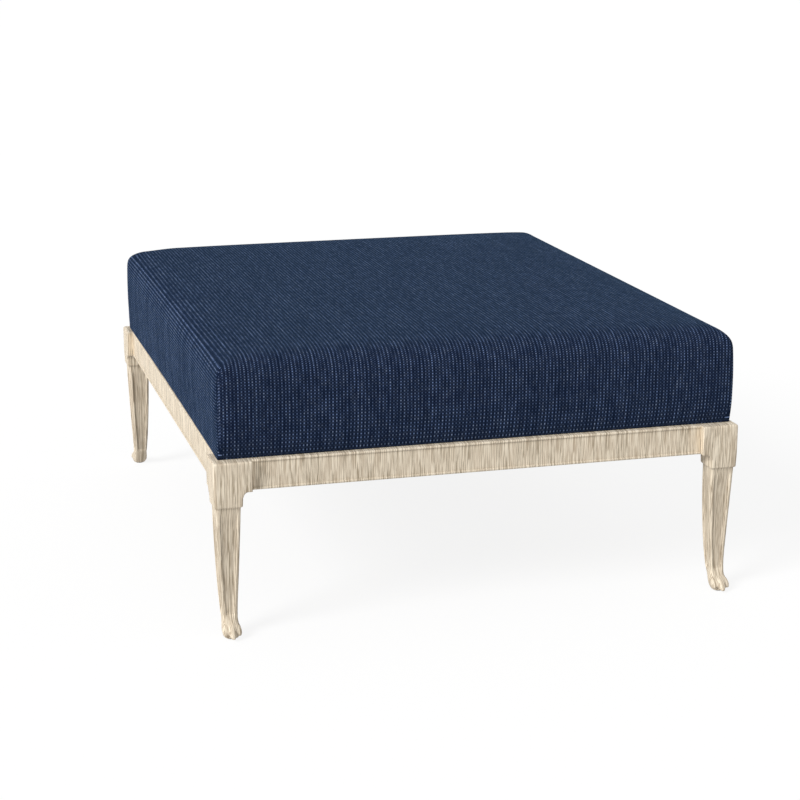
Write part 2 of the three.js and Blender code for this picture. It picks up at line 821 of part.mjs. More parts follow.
// The pull lies toward -X from the bar that turns under the bail. Its plate has a window for the bail.
function pull_form() {
  const half = pull_width / 2;
  const outline = new THREE.Shape([new THREE.Vector2(0, half)]);
  for (let step = 0; step <= arc_steps * 2; step += 1) {
    const turn = quarter_turn - (Math.PI * step) / (arc_steps * 2);
    outline.lineTo(-pull_length + half - half * Math.cos(turn), half * Math.sin(turn));
  }
  outline.lineTo(0, -half);
  const window = [
    [-pull_bar_radius, -pull_window_width / 2],
    [-pull_bar_radius, pull_window_width / 2],
    [-pull_window_length, pull_window_width / 2],
    [-pull_window_length, -pull_window_width / 2],
  ];
  outline.holes.push(new THREE.Path(window.map(([x, z]) => new THREE.Vector2(x, z))));
  const eye = Array.from({ length: screw_sides }, (_, step) => {
    const turn = (-Math.PI * 2 * step) / screw_sides;
    const across = -pull_length + half + pull_hole_radius * Math.cos(turn);
    return new THREE.Vector2(across, pull_hole_radius * Math.sin(turn));
  });
  outline.holes.push(new THREE.Path(eye));
  const plate = new THREE.ExtrudeGeometry(outline, { depth: pull_thickness, bevelEnabled: false });
  plate.applyMatrix4(new THREE.Matrix4().makeBasis(axis_x, axis_z, axis_y.clone().negate()));
  plate.translate(0, pull_thickness / 2, 0);
  const bar = rod_between(
    new THREE.Vector3(0, 0, -half),
    new THREE.Vector3(0, 0, half),
    pull_bar_radius,
  );
  return joined([plate, bar]);
}

// Assembly

function named_mesh(name, geometry, material) {
  const mesh = new THREE.Mesh(geometry, material);
  mesh.name = name;
  return mesh;
}

function placed(mesh, x, y, z) {
  mesh.position.set(x, y, z);
  return mesh;
}

// The screw's head points along the given direction.
function aimed_screw(name, geometry, direction) {
  const mesh = named_mesh(name, geometry, bright_steel);
  mesh.quaternion.setFromUnitVectors(axis_z, direction);
  return mesh;
}

const corners = [
  { name: "front_left", x: -1, y: -1 },
  { name: "front_right", x: 1, y: -1 },
  { name: "back_left", x: -1, y: 1 },
  { name: "back_right", x: 1, y: 1 },
];

function legs_group() {
  const group = new THREE.Group();
  const casting = corner_casting();
  const glide = glide_form();
  corners.forEach(({ name, x, y }) => {
    const leg = placed(named_mesh(`leg_${name}`, casting, cream_paint), x * block_axis_x, y * block_axis_y, 0);
    leg.scale.set(x, y, 1);
    const sole = y * (block_axis_y + paw_reach);
    group.add(leg, placed(named_mesh(`glide_${name}`, glide, grey_plastic), x * block_axis_x, sole, 0));
  });
  return group;
}

const sides = [
  { name: "back", turn: 0, length: rail_length_x, reach: frame_depth / 2 },
  { name: "left", turn: 1, length: rail_length_y, reach: frame_width / 2, ledge: true },
  { name: "front", turn: 2, length: rail_length_x, reach: frame_depth / 2 },
  { name: "right", turn: 3, length: rail_length_y, reach: frame_width / 2, ledge: true },
];

// One rail with its screws, and its ledge where it carries the slats.
function side_group({ name, turn, length, reach, ledge }) {
  const inward = axis_y.clone().negate();
  const group = new THREE.Group();
  const outward = new THREE.Group();
  outward.position.set(0, reach - rail_setback, rail_bottom);
  outward.add(named_mesh(`${name}_rail`, rail_form(length, ledge), cream_paint));
  const lock = screw_form(rail_screw);
  rail_screw_places(length).forEach((across, index) => {
    const screw = aimed_screw(`rail_screw_${name}_${index + 1}`, lock, inward);
    outward.add(placed(screw, across, -rail_thickness - piece_gap, rail_screw_height));
  });
  if (ledge) {
    outward.add(named_mesh(`slat_ledge_${name}`, ledge_form(), deck_paint));
    const fixing = screw_form(ledge_screw);
    ledge_screw_places().forEach((across, index) => {
      const screw = aimed_screw(`ledge_screw_${name}_${index + 1}`, fixing, inward);
      const seat = -ledge_face - ledge_wall - piece_gap;
      outward.add(placed(screw, across, seat, ledge_screw_height()));
    });
  }
  group.rotation.z = turn * quarter_turn;
  group.add(outward);
  return group;
}

function deck_group() {
  const group = new THREE.Group();
  const slat = slat_form();
  const screw = screw_form(slat_screw);
  const down = axis_z.clone().negate();
  slat_places().forEach((place, index) => {
    const number = index + 1;
    group.add(placed(named_mesh(`deck_slat_${number}`, slat, deck_paint), 0, place, frame_height - slat_thickness));
    [-1, 1].forEach((side) => {
      const name = `slat_screw_${number}_${side < 0 ? "left" : "right"}`;
      const seat = ledge_top - ledge_wall - piece_gap;
      group.add(placed(aimed_screw(name, screw, down), side * slat_screw_reach(), place, seat));
    });
  });
  return group;
}

function zip_group() {
  const group = new THREE.Group();
  const tape = tape_form();
  const stop = stop_form();
  const lower = named_mesh("zip_tape_lower", tape, zip_cloth);
  lower.scale.z = -1;
  group.add(named_mesh("zip_tape_upper", tape, zip_cloth), lower);
  group.add(named_mesh("zip_chain", chain_form(), bright_steel));
  const stop_place = zip_length / 2 + piece_gap + zip_stop_length / 2;
  group.add(placed(named_mesh("zip_stop_left", stop, bright_steel), -stop_place, 0, 0));
  group.add(placed(named_mesh("zip_stop_right", stop, bright_steel), stop_place, 0, 0));
  const slider_place = zip_length / 2 - slider_length / 2;
  group.add(placed(named_mesh("zip_slider", slider_form(), bright_steel), slider_place, 0, 0));
  group.add(placed(named_mesh("zip_pull", pull_form(), bright_steel), slider_place, pull_axis_height(), 0));
  return placed(group, 0, cushion_half_y, zip_centre_height);
}

function cushion_group() {
  const group = new THREE.Group();
  group.add(named_mesh("cushion_cover", cover_form(), navy_cloth));
  group.add(named_mesh("cushion_core", core_form(), pale_foam));
  group.add(zip_group());
  return group;
}

const ottoman = new THREE.Group();
ottoman.add(legs_group(), ...sides.map(side_group), deck_group(), cushion_group());

export default ottoman;
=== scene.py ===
"""Outdoor ottoman footstool: cast legs and rails in a brushed cream wash, with a loose navy cushion.

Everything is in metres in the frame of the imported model: +Z up, the front faces -Y.
"""

import logging
import math
from collections.abc import Callable
from dataclasses import dataclass, field
from enum import Enum

import bmesh
import bpy
from bpy.types import Material, Mesh, Node, NodeSocket as Socket, NodeTree, Object
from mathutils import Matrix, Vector


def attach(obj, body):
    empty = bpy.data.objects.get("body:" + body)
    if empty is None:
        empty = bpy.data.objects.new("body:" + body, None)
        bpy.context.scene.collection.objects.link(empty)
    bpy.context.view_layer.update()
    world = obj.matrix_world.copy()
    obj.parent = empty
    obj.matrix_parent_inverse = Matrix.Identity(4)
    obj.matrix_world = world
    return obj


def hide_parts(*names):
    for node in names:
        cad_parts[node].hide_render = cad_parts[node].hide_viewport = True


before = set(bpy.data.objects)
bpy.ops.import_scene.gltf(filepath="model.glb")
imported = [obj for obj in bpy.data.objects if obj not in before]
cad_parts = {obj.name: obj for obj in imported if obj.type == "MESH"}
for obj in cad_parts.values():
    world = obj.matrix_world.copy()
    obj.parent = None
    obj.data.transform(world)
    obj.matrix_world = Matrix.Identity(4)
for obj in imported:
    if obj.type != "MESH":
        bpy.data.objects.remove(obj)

Colour = tuple[float, float, float]
Pair = tuple[float, float]
Numbers = tuple[float, ...]
Key = tuple[int, int, int]

# The mark on the castings for how dark the flutes are painted, as settled wash and painted shade
FLUTE_WASH_AND_SHADE = "flute_wash_and_shade"

log = logging.getLogger("ottoman")


class Body(Enum):
    """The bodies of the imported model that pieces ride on."""

    FRAME = "frame"
    CUSHION = "cushion"


class Slot(Enum):
    """The record's material slots that new pieces use."""

    FRAME_PAINT = "frame_paint"
    COVER_CLOTH = "cover_cloth"
    CORE_FOAM = "core_foam"
    ZIP_TAPE = "zip_tape"
    ZIP_METAL = "zip_metal"


# Node graphs


class Graph:
    """A node tree, with short ways to add nodes to it and to link them."""

    def __init__(self, tree: NodeTree) -> None:
        """Keeps the tree that the nodes go into."""
        self.tree = tree

    def add(self, kind: str, **settings: object) -> Node:
        """Adds a node.

        Args:
            kind: the node's type name.
            settings: properties to set on it.

        Returns:
            The new node.
        """
        node = self.tree.nodes.new(kind)
        for name, value in settings.items():
            setattr(node, name, value)
        return node

    def feed(self, socket: Socket, value: object) -> None:
        """Links a socket to an output, or sets its plain value.

        Args:
            socket: the input to fill.
            value: an output socket, a number, a vector or a colour.
        """
        if isinstance(value, Socket):
            self.tree.links.new(value, socket)
        elif isinstance(value, tuple) and len(value) == 3 and socket.type == "RGBA":
            socket.default_value = (*value, 1.0)
        else:
            socket.default_value = value

    def result(
        self, kind: str, inputs: dict[int | str, object], output: int | str = 0, **settings: object
    ) -> Socket:
        """Adds a node, feeds it and takes one of its outputs.

        Args:
            kind: the node's type name.
            inputs: what its inputs get, each by its place or name.
            output: the place or name of the output.
            settings: properties to set on it.

        Returns:
            The output.
        """
        node = self.add(kind, **settings)
        for place, value in inputs.items():
            self.feed(node.inputs[place], value)
        return node.outputs[output]

    def math(self, operation: str, *values: object, clamp: bool = False) -> Socket:
        """The result of a Math node, kept from 0 to 1 where that is asked for."""
        numbers = dict(enumerate(values))
        return self.result("ShaderNodeMath", numbers, operation=operation, use_clamp=clamp)

    def times(self, first: object, second: object) -> Socket:
        """The product of two numbers."""
        return self.math("MULTIPLY", first, second)

    def less(self, first: object, second: object) -> Socket:
        """The first number less the second."""
        return self.math("SUBTRACT", first, second)

    def larger(self, first: object, second: object) -> Socket:
        """The larger of two numbers."""
        return self.math("MAXIMUM", first, second)

    def above(self, value: object, limit: object) -> Socket:
        """1 where a number is above a limit, and 0 elsewhere."""
        return self.math("GREATER_THAN", value, limit)

    def size(self, value: Socket) -> Socket:
        """A number without its sign."""
        return self.math("ABSOLUTE", value)

    def smooth(self, value: Socket, low: float, high: float, start: float = 0.0, end: float = 1.0) -> Socket:
        """A soft step: start up to low, end from high on."""
        numbers = dict(enumerate((value, low, high, start, end)))
        return self.result("ShaderNodeMapRange", numbers, "Result", interpolation_type="SMOOTHSTEP")

    def combine(self, *values: object) -> Socket:
        """A vector of up to three numbers."""
        return self.result("ShaderNodeCombineXYZ", dict(enumerate(values)))

    def split(self, vector: Socket) -> tuple[Socket, ...]:
        """The three parts of a vector."""
        return tuple(self.result("ShaderNodeSeparateXYZ", {0: vector}).node.outputs)

    def mix(self, share: object, first: object, second: object) -> Socket:
        """Two colours mixed, with this share of the second."""
        colours = {0: share, 6: first, 7: second}
        return self.result("ShaderNodeMix", colours, 2, data_type="RGBA", clamp_factor=True)

    def between(self, share: object, first: object, second: object) -> Socket:
        """Two numbers mixed, with this share of the second."""
        numbers = {0: share, 2: first, 3: second}
        return self.result("ShaderNodeMix", numbers, data_type="FLOAT", clamp_factor=True)

    def swing(self, share: object, contrast: float) -> Socket:
        """A number that goes from 1 less the contrast to 1 and the contrast, as the share grows."""
        return self.between(share, 1 - contrast, 1 + contrast)

    def noise(self, vector: Socket, scale: float = 1.0, detail: float = 2.0) -> Socket:
        """Soft noise from 0 to 1, about 0.5 in the middle, with this many finer layers."""
        values = {"Vector": vector, "Scale": scale, "Detail": detail}
        return self.result("ShaderNodeTexNoise", values, noise_dimensions="3D")

    def stretched(
        self, along: Socket, up: Socket, counts: Pair, seed: object = 0.0, detail: float = 2.0
    ) -> Socket:
        """Soft noise with its own fineness along and up a panel."""
        spot = self.combine(self.times(along, counts[0]), self.times(up, counts[1]), seed)
        return self.noise(spot, detail=detail)

    def place(self, group: NodeTree, **values: object) -> dict[str, Socket]:
        """Places a shared group.

        Args:
            group: the group's tree.
            values: its inputs, with _ for a space in a name.

        Returns:
            Its outputs by name.
        """
        node = self.add("ShaderNodeGroup", node_tree=group)
        for name, value in values.items():
            self.feed(node.inputs[name.replace("_", " ").title()], value)
        return dict(node.outputs.items())

    def bump(self, height: Socket, distance: float, strength: float, normal: Socket | None = None) -> Socket:
        """Adds a Bump node.

        Args:
            height: the height, from 0 to 1.
            distance: how many metres a height of 1 is.
            strength: how much of it shows.
            normal: the normal that it starts from.

        Returns:
            The bumped normal.
        """
        values = {"Strength": strength, "Distance": distance, "Height": height}
        if normal is not None:
            values["Normal"] = normal
        return self.result("ShaderNodeBump", values)


class Effect(Graph):
    """A shader node group with named inputs and outputs, built once and shared."""

    def __init__(self, name: str, inputs: dict[str, float], outputs: tuple[str, ...]) -> None:
        """Makes the group and its sockets.

        Args:
            name: the group's name.
            inputs: the name and usual value of each input, all of them numbers.
            outputs: the name of each output: a number, or a vector for the normal.
        """
        super().__init__(bpy.data.node_groups.new(name, "ShaderNodeTree"))
        sockets = self.tree.interface
        for label, usual in inputs.items():
            socket = sockets.new_socket(label, in_out="INPUT", socket_type="NodeSocketFloat")
            socket.default_value = usual
        for label in outputs:
            kind = "NodeSocketVector" if label == "Normal" else "NodeSocketFloat"
            sockets.new_socket(label, in_out="OUTPUT", socket_type=kind)
        self.given = self.add("NodeGroupInput").outputs
        self.end = self.add("NodeGroupOutput").inputs

    def giving(self, results: dict[str, Socket]) -> NodeTree:
        """Links the results to the group's outputs.

        Args:
            results: the result for each output.

        Returns:
            The group's tree.
        """
        for name, value in results.items():
            self.feed(self.end[name], value)
        return self.tree


@dataclass
class Effects:
    """The shader effects that more than one finish uses.

    A step is where a soft rise starts and ends, and counts are how fine a noise is along and up.
    """

    lying_from: float = 0.8
    edge_rays: int = 6
    edge_step: Pair = (0.995, 0.86)
    recess_rays: int = 8
    recess_step: Pair = (0.97, 0.6)
    wander_counts: Pair = (70.0, 16.0)
    wander_reach: float = 0.0012
    line_counts: Pair = (1000.0, 1.0)
    line_step: Pair = (0.45, 0.60)
    line_share: float = 0.68
    fine_counts: Pair = (1900.0, 3.2)
    fine_step: Pair = (0.36, 0.64)
    fine_share: float = 0.32
    band_counts: Pair = (120.0, 0.35)
    band_step: Pair = (0.34, 0.66)
    streak_seeds: Numbers = (0.0, 5.3, 9.1)
    yarn_seeds: Pair = (1.0, 2.0)
    yarn_crown: float = 0.7
    yarn_dip: Pair = (0.55, 0.45)
    slub_counts: Pair = (5.17, 0.03)
    slub_step: Pair = (0.3, 0.7)
    mottle_scale: float = 60.0
    mottle_layers: float = 3.0

    def __post_init__(self) -> None:
        """Builds every group."""
        self.panels = self.panel_group()
        self.edges = self.edge_group()
        self.streaks = self.streak_group()
        self.weave = self.weave_group()
        self.grain = self.grain_group()

    def panel_group(self) -> NodeTree:
        """Places on a panel: along it, and up it and on over its top.

        Returns:
            The group's tree.
        """
        group = Effect("panel_places", {}, ("Along", "Up"))
        place = group.add("ShaderNodeTexCoord").outputs
        x, y, z = group.split(place["Object"])
        facing_x, facing_y, facing_z = (group.size(part) for part in group.split(place["Normal"]))
        upright = group.less(1.0, group.above(facing_z, self.lying_from))
        side = group.times(group.above(facing_x, facing_y), upright)
        up = group.between(side, group.math("ADD", z, y), z)
        return group.giving({"Along": group.between(side, x, y), "Up": up})

    def edge_group(self) -> NodeTree:
        """Marks rubbed edges, and recesses by ambient occlusion, which the finishes darken as painted shade;
        and softens the normal across edges.

        Returns:
            The group's tree.
        """
        sizes = {"Edge Width": 0.001, "Recess Reach": 0.006}
        group = Effect("edge_and_recess", sizes, ("Edge", "Recess", "Normal"))
        width, reach = {"Radius": group.given["Edge Width"]}, {"Distance": group.given["Recess Reach"]}
        normal = group.result("ShaderNodeBevel", width, samples=self.edge_rays)
        rays = {"samples": self.recess_rays, "only_local": True}
        light = group.result("ShaderNodeAmbientOcclusion", reach, "AO", **rays)
        facing = {0: normal, 1: group.add("ShaderNodeNewGeometry").outputs["True Normal"]}
        straight = group.result("ShaderNodeVectorMath", facing, "Value", operation="DOT_PRODUCT")
        # Recess is ambient occlusion: colour darkened by it is painted shade.
        recess = group.smooth(light, *self.recess_step)
        edge = group.times(group.smooth(straight, *self.edge_step), group.less(1.0, recess))
        return group.giving({"Edge": edge, "Recess": recess, "Normal": normal})

    def streak_group(self) -> NodeTree:
        """Long thin brush lines up a panel, with finer ones between them and broad soft bands.

        Returns:
            The group's tree.
        """
        sizes = {"Along": 0.0, "Up": 0.0, "Fineness": 1.0, "Run": 28.0}
        group = Effect("brush_streaks", sizes, ("Tone", "Band"))
        along, up = group.given["Along"], group.given["Up"]
        run = group.times(up, group.given["Run"])
        wander = group.stretched(along, up, self.wander_counts)
        bent = group.math("ADD", along, group.times(wander, self.wander_reach))
        across = group.times(bent, group.given["Fineness"])
        layers = zip((self.line_counts, self.fine_counts, self.band_counts), self.streak_seeds)
        lines, fine, bands = (
            group.stretched(across, run, counts, seed, detail=1.0) for counts, seed in layers
        )
        lines = group.times(group.smooth(lines, *self.line_step), self.line_share)
        fine = group.times(group.smooth(fine, *self.fine_step), self.fine_share)
        tone = group.math("ADD", lines, fine)
        return group.giving({"Tone": tone, "Band": group.smooth(bands, *self.band_step)})

    def weave_group(self) -> NodeTree:
        """A plain weave of round yarns, with soft masks for every second and third one.

        Returns:
            The group's tree.
        """
        sizes = {"Along": 0.0, "Up": 0.0, "Warp Pitch": 0.0015, "Weft Pitch": 0.0017}
        results = ("Height", "Crossing", "Third Warp", "Second Warp", "Second Weft", "Slub", "Fleck")
        group = Effect("plain_weave", sizes, results)
        across = group.math("DIVIDE", group.given["Along"], group.given["Warp Pitch"])
        upward = group.math("DIVIDE", group.given["Up"], group.given["Weft Pitch"])
        waves = [group.math("SINE", group.times(yarns, math.pi)) for yarns in (across, upward)]
        crossing = group.times(*waves)
        crowns = [group.size(wave) for wave in waves]
        round_warp, round_weft = (group.math("POWER", crown, self.yarn_crown) for crown in crowns)
        warp_run, weft_run = (group.math("MULTIPLY_ADD", crown, *self.yarn_dip) for crown in reversed(crowns))
        warp, weft = group.times(round_warp, warp_run), group.times(round_weft, weft_run)
        number = group.math("FLOOR", across)
        slub_seed, fleck_seed = self.yarn_seeds
        slub = group.stretched(number, upward, self.slub_counts, slub_seed, detail=1.0)
        yarn = group.combine(number, group.math("FLOOR", upward), fleck_seed)
        return group.giving({
            "Height": group.between(group.above(crossing, 0.0), weft, warp),
            "Crossing": crossing,
            "Third Warp": self.wave(group, across, 3.0),
            "Second Warp": self.wave(group, across, 2.0),
            "Second Weft": self.wave(group, upward, 2.0),
            "Slub": group.smooth(slub, *self.slub_step),
            "Fleck": group.result("ShaderNodeTexWhiteNoise", {0: yarn}, "Value", noise_dimensions="3D"),
        })

    def wave(self, group: Graph, yarns: Socket, step: float) -> Socket:
        """A soft wave over counted yarns, from 0 to 1, highest on one of every so many."""
        turn = group.times(group.less(yarns, 0.5), 2 * math.pi / step)
        return group.math("MULTIPLY_ADD", group.math("COSINE", turn), 0.5, 0.5)

    def grain_group(self) -> NodeTree:
        """An even fine grain with soft mottling.

        Returns:
            The group's tree.
        """
        group = Effect("fine_grain", {"Fineness": 1000.0}, ("Grain", "Mottle"))
        place = group.add("ShaderNodeTexCoord").outputs["Object"]
        size = {0: place, "Scale": group.given["Fineness"]}
        spot = group.result("ShaderNodeVectorMath", size, operation="SCALE")
        mottle = group.noise(place, self.mottle_scale, self.mottle_layers)
        return group.giving({"Grain": group.noise(spot), "Mottle": mottle})


# Finishes


class Finish:
    """A finish that is laid on through the inputs of one Principled shader.

    In a finish, two numbers are where a soft step starts and ends, or a value at both of its ends, and
    four are a soft step with its two results. A relief is a bump's depth in metres and its strength.
    """

    name: str

    def material(self, effects: Effects) -> Material:
        """Makes the material.

        Args:
            effects: the shared groups.

        Returns:
            The material.
        """
        material = bpy.data.materials.new(self.name)
        material.use_nodes = True
        nodes = material.node_tree.nodes
        shader = next(node for node in nodes if node.type == "BSDF_PRINCIPLED")
        graph = Graph(material.node_tree)
        for name, value in self.coats(graph, effects).items():
            graph.feed(shader.inputs[name], value)
        return material

    def coats(self, graph: Graph, effects: Effects) -> dict[str, object]:
        """What each input of the shader gets. Every finish has its own."""
        raise NotImplementedError


@dataclass(frozen=True)
class BrushedWash(Finish):
    """Cream wash over tan paint, dragged up and down with a dry brush, darker in recesses and flutes as
    settled wash and painted shade.
    """

    name: str = "brushed_cream_wash"
    light: Colour = (1.0, 0.88, 0.70)
    middle: Colour = (0.60, 0.485, 0.35)
    dark: Colour = (0.42, 0.335, 0.232)
    # The colour of wash settled in recesses and flutes, which also stands there as painted shade.
    wash_and_shade: Colour = (0.25, 0.19, 0.128)
    rubbed: Colour = (1.0, 0.90, 0.73)
    run: float = 19.0
    edge_width: float = 0.0012
    recess_reach: float = 0.006
    stroke: Pair = (0.08, 0.56)
    broken: Numbers = (0.9, 0.1, 0.6, 1.0)
    wash_and_shade_share: float = 0.9
    rubbed_share: float = 0.6
    roughness: Pair = (0.62, 0.5)
    specular: float = 0.3
    relief: Pair = (0.0004, 0.5)

    def coats(self, graph: Graph, effects: Effects) -> dict[str, object]:
        """Lays broken strokes over the paint, darkens recesses and flutes with settled wash and painted
        shade, and lightens edges.

        Args:
            graph: the material's graph.
            effects: the shared groups.

        Returns:
            What each input of the shader gets.
        """
        panels = graph.place(effects.panels)
        streaks = graph.place(effects.streaks, along=panels["Along"], up=panels["Up"], run=self.run)
        marks = graph.place(effects.edges, edge_width=self.edge_width, recess_reach=self.recess_reach)
        tone = streaks["Tone"]
        ground = graph.mix(streaks["Band"], self.dark, self.middle)
        colour = graph.mix(graph.smooth(tone, *self.stroke), ground, self.light)
        # Flute and recess darkening is partly settled wash, partly painted shade standing in for the shadows
        # of the flutes and the lip.
        flute = graph.add("ShaderNodeAttribute", attribute_name=FLUTE_WASH_AND_SHADE).outputs["Fac"]
        recess = graph.times(graph.larger(marks["Recess"], flute), graph.smooth(tone, *self.broken))
        colour = graph.mix(graph.times(recess, self.wash_and_shade_share), colour, self.wash_and_shade)
        colour = graph.mix(graph.times(marks["Edge"], self.rubbed_share), colour, self.rubbed)
        return {
            "Base Color": colour,
            "Roughness": graph.between(tone, *self.roughness),
            "Specular IOR Level": self.specular,
            "Normal": graph.bump(tone, *self.relief, marks["Normal"]),
        }


@dataclass(frozen=True)
class PowderCoat(Finish):
    """Plain sprayed coat with a faint orange peel, on the parts under the cushion."""

    name: str = "deck_powder_coat"
    light: Colour = (0.74, 0.65, 0.51)
    dark: Colour = (0.62, 0.53, 0.40)
    fineness: float = 420.0
    edge_width: float = 0.0008
    recess_reach: float = 0.008
    patches: Pair = (0.36, 0.66)
    recess_shade_share: float = 0.5
    roughness: Pair = (0.48, 0.66)
    relief: Pair = (0.0003, 0.4)

    def coats(self, graph: Graph, effects: Effects) -> dict[str, object]:
        """Lays soft patches over the coat, with painted shade a little darker in recesses.

        Args:
            graph: the material's graph.
            effects: the shared groups.

        Returns:
            What each input of the shader gets.
        """
        grain = graph.place(effects.grain, fineness=self.fineness)
        marks = graph.place(effects.edges, edge_width=self.edge_width, recess_reach=self.recess_reach)
        colour = graph.mix(graph.smooth(grain["Mottle"], *self.patches), self.dark, self.light)
        return {
            # Painted shade: the coat is darkened in recesses by ambient occlusion.
            "Base Color": graph.mix(graph.times(marks["Recess"], self.recess_shade_share), colour, self.dark),
            "Roughness": graph.between(grain["Grain"], *self.roughness),
            "Normal": graph.bump(grain["Grain"], *self.relief, marks["Normal"]),
        }


@dataclass(frozen=True)
class HeatherCloth(Finish):
    """Navy heathered outdoor cloth in a plain weave with fine ribs. The top and front are one piece."""

    half_x: float
    half_y: float
    top: float
    zip_height: float
    name: str = "navy_heather_weave"
    light: Colour = (0.275, 0.395, 0.71)
    grey: Colour = (0.36, 0.44, 0.60)
    dark: Colour = (0.0025, 0.0068, 0.024)
    sheen: Colour = (0.33, 0.65, 1.0)
    sheen_weight: float = 0.066
    sheen_roughness: float = 0.5
    roughness: Pair = (0.98, 0.84)
    warp_pitch: float = 0.0025
    weft_pitch: float = 0.0022
    lightness: float = 0.272
    grey_yarns: Numbers = (0.6, 0.85, 0.0, 0.6)
    dots: Numbers = (0.0, 1.0, 0.13, 1.0)
    third_contrast: float = 0.12
    rib_contrast: float = 0.75
    row_contrast: float = 0.55
    # Side panels are painted lighter than the top and front: painted light for the lit side.
    side_painted_light: float = 1.14
    patch_counts: Pair = (55.0, 5.0)
    patch_step: Numbers = (0.3, 0.7, -1.0, 1.0)
    patch_contrast: float = 0.14
    side_patch_contrast: float = 0.3
    run_counts: Pair = (330.0, 48.0)
    run_step: Pair = (0.36, 0.64)
    run_contrast: float = 0.36
    run_seed: float = 7.0
    slub_contrast: float = 0.12
    fleck_contrast: float = 0.15
    weave_relief: Pair = (0.0004, 0.5)
    fold_scale: float = 9.0
    fold_relief: Pair = (0.006, 0.25)
    seam_width: float = 0.0011
    seam_share: float = 0.3
    seam_depth: float = 0.5
    line_depth: float = 0.6
    sunk_relief: Pair = (0.0012, 0.7)
    stitch_share: float = 0.35
    stitch_pitch: float = 0.0032
    stitch_ends: Pair = (0.34, 0.4)
    stitch_width: float = 0.00045
    thread_soft: float = 0.7
    line_soft: float = 2.2
    stitch_away: float = 0.0095
    stitch_stop: float = 0.076
    back_depth: float = 0.006

    def coats(self, graph: Graph, effects: Effects) -> dict[str, object]:
        """Weaves the panels, with the seam at the side panels' edges and stitches beside the zip.

        Args:
            graph: the material's graph.
            effects: the shared groups.

        Returns:
            What each input of the shader gets.
        """
        place = graph.add("ShaderNodeTexCoord").outputs["Object"]
        x, y, z = graph.split(place)
        in_x = graph.less(self.half_x, graph.size(x))
        in_y = graph.less(self.half_y, graph.size(y))
        in_z = graph.less(self.top, z)
        past_seam = graph.less(graph.math("MINIMUM", in_y, in_z), in_x)
        side = graph.above(past_seam, 0.0)
        along = graph.between(side, x, y)
        over = graph.math("MULTIPLY_ADD", graph.math("SIGN", y), graph.larger(in_z, 0.0), y)
        up = graph.between(side, over, z)
        pitches = {"warp_pitch": self.warp_pitch, "weft_pitch": self.weft_pitch}
        weave = graph.place(effects.weave, along=along, up=up, **pitches)
        tone = self.yarn_tone(graph, weave, side, along, up)
        grey = graph.smooth(weave["Fleck"], *self.grey_yarns)
        colour = graph.mix(tone, self.dark, graph.mix(grey, self.light, self.grey))
        seam = graph.smooth(graph.size(past_seam), 0.0, self.seam_width, 1.0, 0.0)
        stitch, line = self.zip_stitches(graph, x, y, z)
        colour = graph.mix(graph.times(seam, self.seam_share), colour, self.dark)
        colour = graph.mix(graph.times(stitch, self.stitch_share), colour, self.light)
        sunk = graph.larger(graph.times(seam, self.seam_depth), graph.times(line, self.line_depth))
        normal = graph.bump(graph.noise(place, self.fold_scale), *self.fold_relief)
        normal = graph.bump(graph.less(1.0, sunk), *self.sunk_relief, normal)
        return {
            "Base Color": colour,
            "Roughness": graph.between(weave["Height"], *self.roughness),
            "Specular IOR Level": 0.0,
            "Sheen Weight": self.sheen_weight,
            "Sheen Roughness": self.sheen_roughness,
            "Sheen Tint": self.sheen,
            "Normal": graph.bump(weave["Height"], *self.weave_relief, normal),
        }

    def yarn_tone(
        self, graph: Graph, weave: dict[str, Socket], side: Socket, along: Socket, up: Socket
    ) -> Socket:
        """Shades the yarns: light where the warp is on top, with lighter ribs, slow changes along each, and
        painted light on the side panels.

        Args:
            graph: the material's graph.
            weave: the weave group's outputs.
            side: 1 on the side panels.
            along: the place along the panel.
            up: the place up the panel.

        Returns:
            How light the cloth is, from 0 to 1.
        """
        ribs = graph.swing(weave["Second Warp"], self.rib_contrast)
        # Besides their weft rows, the side panels' tone is raised as painted light.
        rows = graph.times(graph.swing(weave["Second Weft"], self.row_contrast), self.side_painted_light)
        patch = graph.smooth(graph.stretched(along, up, self.patch_counts, side), *self.patch_step)
        contrast = graph.between(side, self.patch_contrast, self.side_patch_contrast)
        run = graph.stretched(along, up, self.run_counts, self.run_seed, detail=1.0)
        tone = graph.times(ribs, graph.between(side, 1.0, rows))
        for share in (
            graph.smooth(weave["Crossing"], *self.dots),
            graph.swing(weave["Third Warp"], self.third_contrast),
            graph.swing(weave["Slub"], self.slub_contrast),
            graph.swing(weave["Fleck"], self.fleck_contrast),
            graph.math("MULTIPLY_ADD", patch, contrast, 1.0),
            graph.smooth(run, *self.run_step, 1 - self.run_contrast, 1 + self.run_contrast),
        ):
            tone = graph.times(tone, share)
        return graph.math("MULTIPLY", tone, self.lightness, clamp=True)

    def zip_stitches(self, graph: Graph, x: Socket, y: Socket, z: Socket) -> tuple[Socket, Socket]:
        """Two rows of stitches beside the zip, on the back panel.

        Args:
            graph: the material's graph.
            x: the place along the back.
            y: the place in depth.
            z: the height.

        Returns:
            The stitches and the line that they sink into, as masks.
        """
        rise = graph.size(graph.less(z, self.zip_height))
        away = graph.size(graph.less(rise, self.stitch_away))
        back = graph.above(y, self.half_y - self.back_depth)
        reach = graph.math("LESS_THAN", graph.size(x), self.half_x - self.stitch_stop)
        there = graph.times(back, reach)
        width = self.stitch_width
        line = graph.smooth(away, width, width * self.line_soft, 1.0, 0.0)
        thread = graph.smooth(away, width * self.thread_soft, width, 1.0, 0.0)
        dash = graph.math("FRACT", graph.math("DIVIDE", x, self.stitch_pitch))
        on = graph.smooth(graph.size(graph.less(dash, 0.5)), *self.stitch_ends, 1.0, 0.0)
        return graph.times(graph.times(thread, on), there), graph.times(line, there)


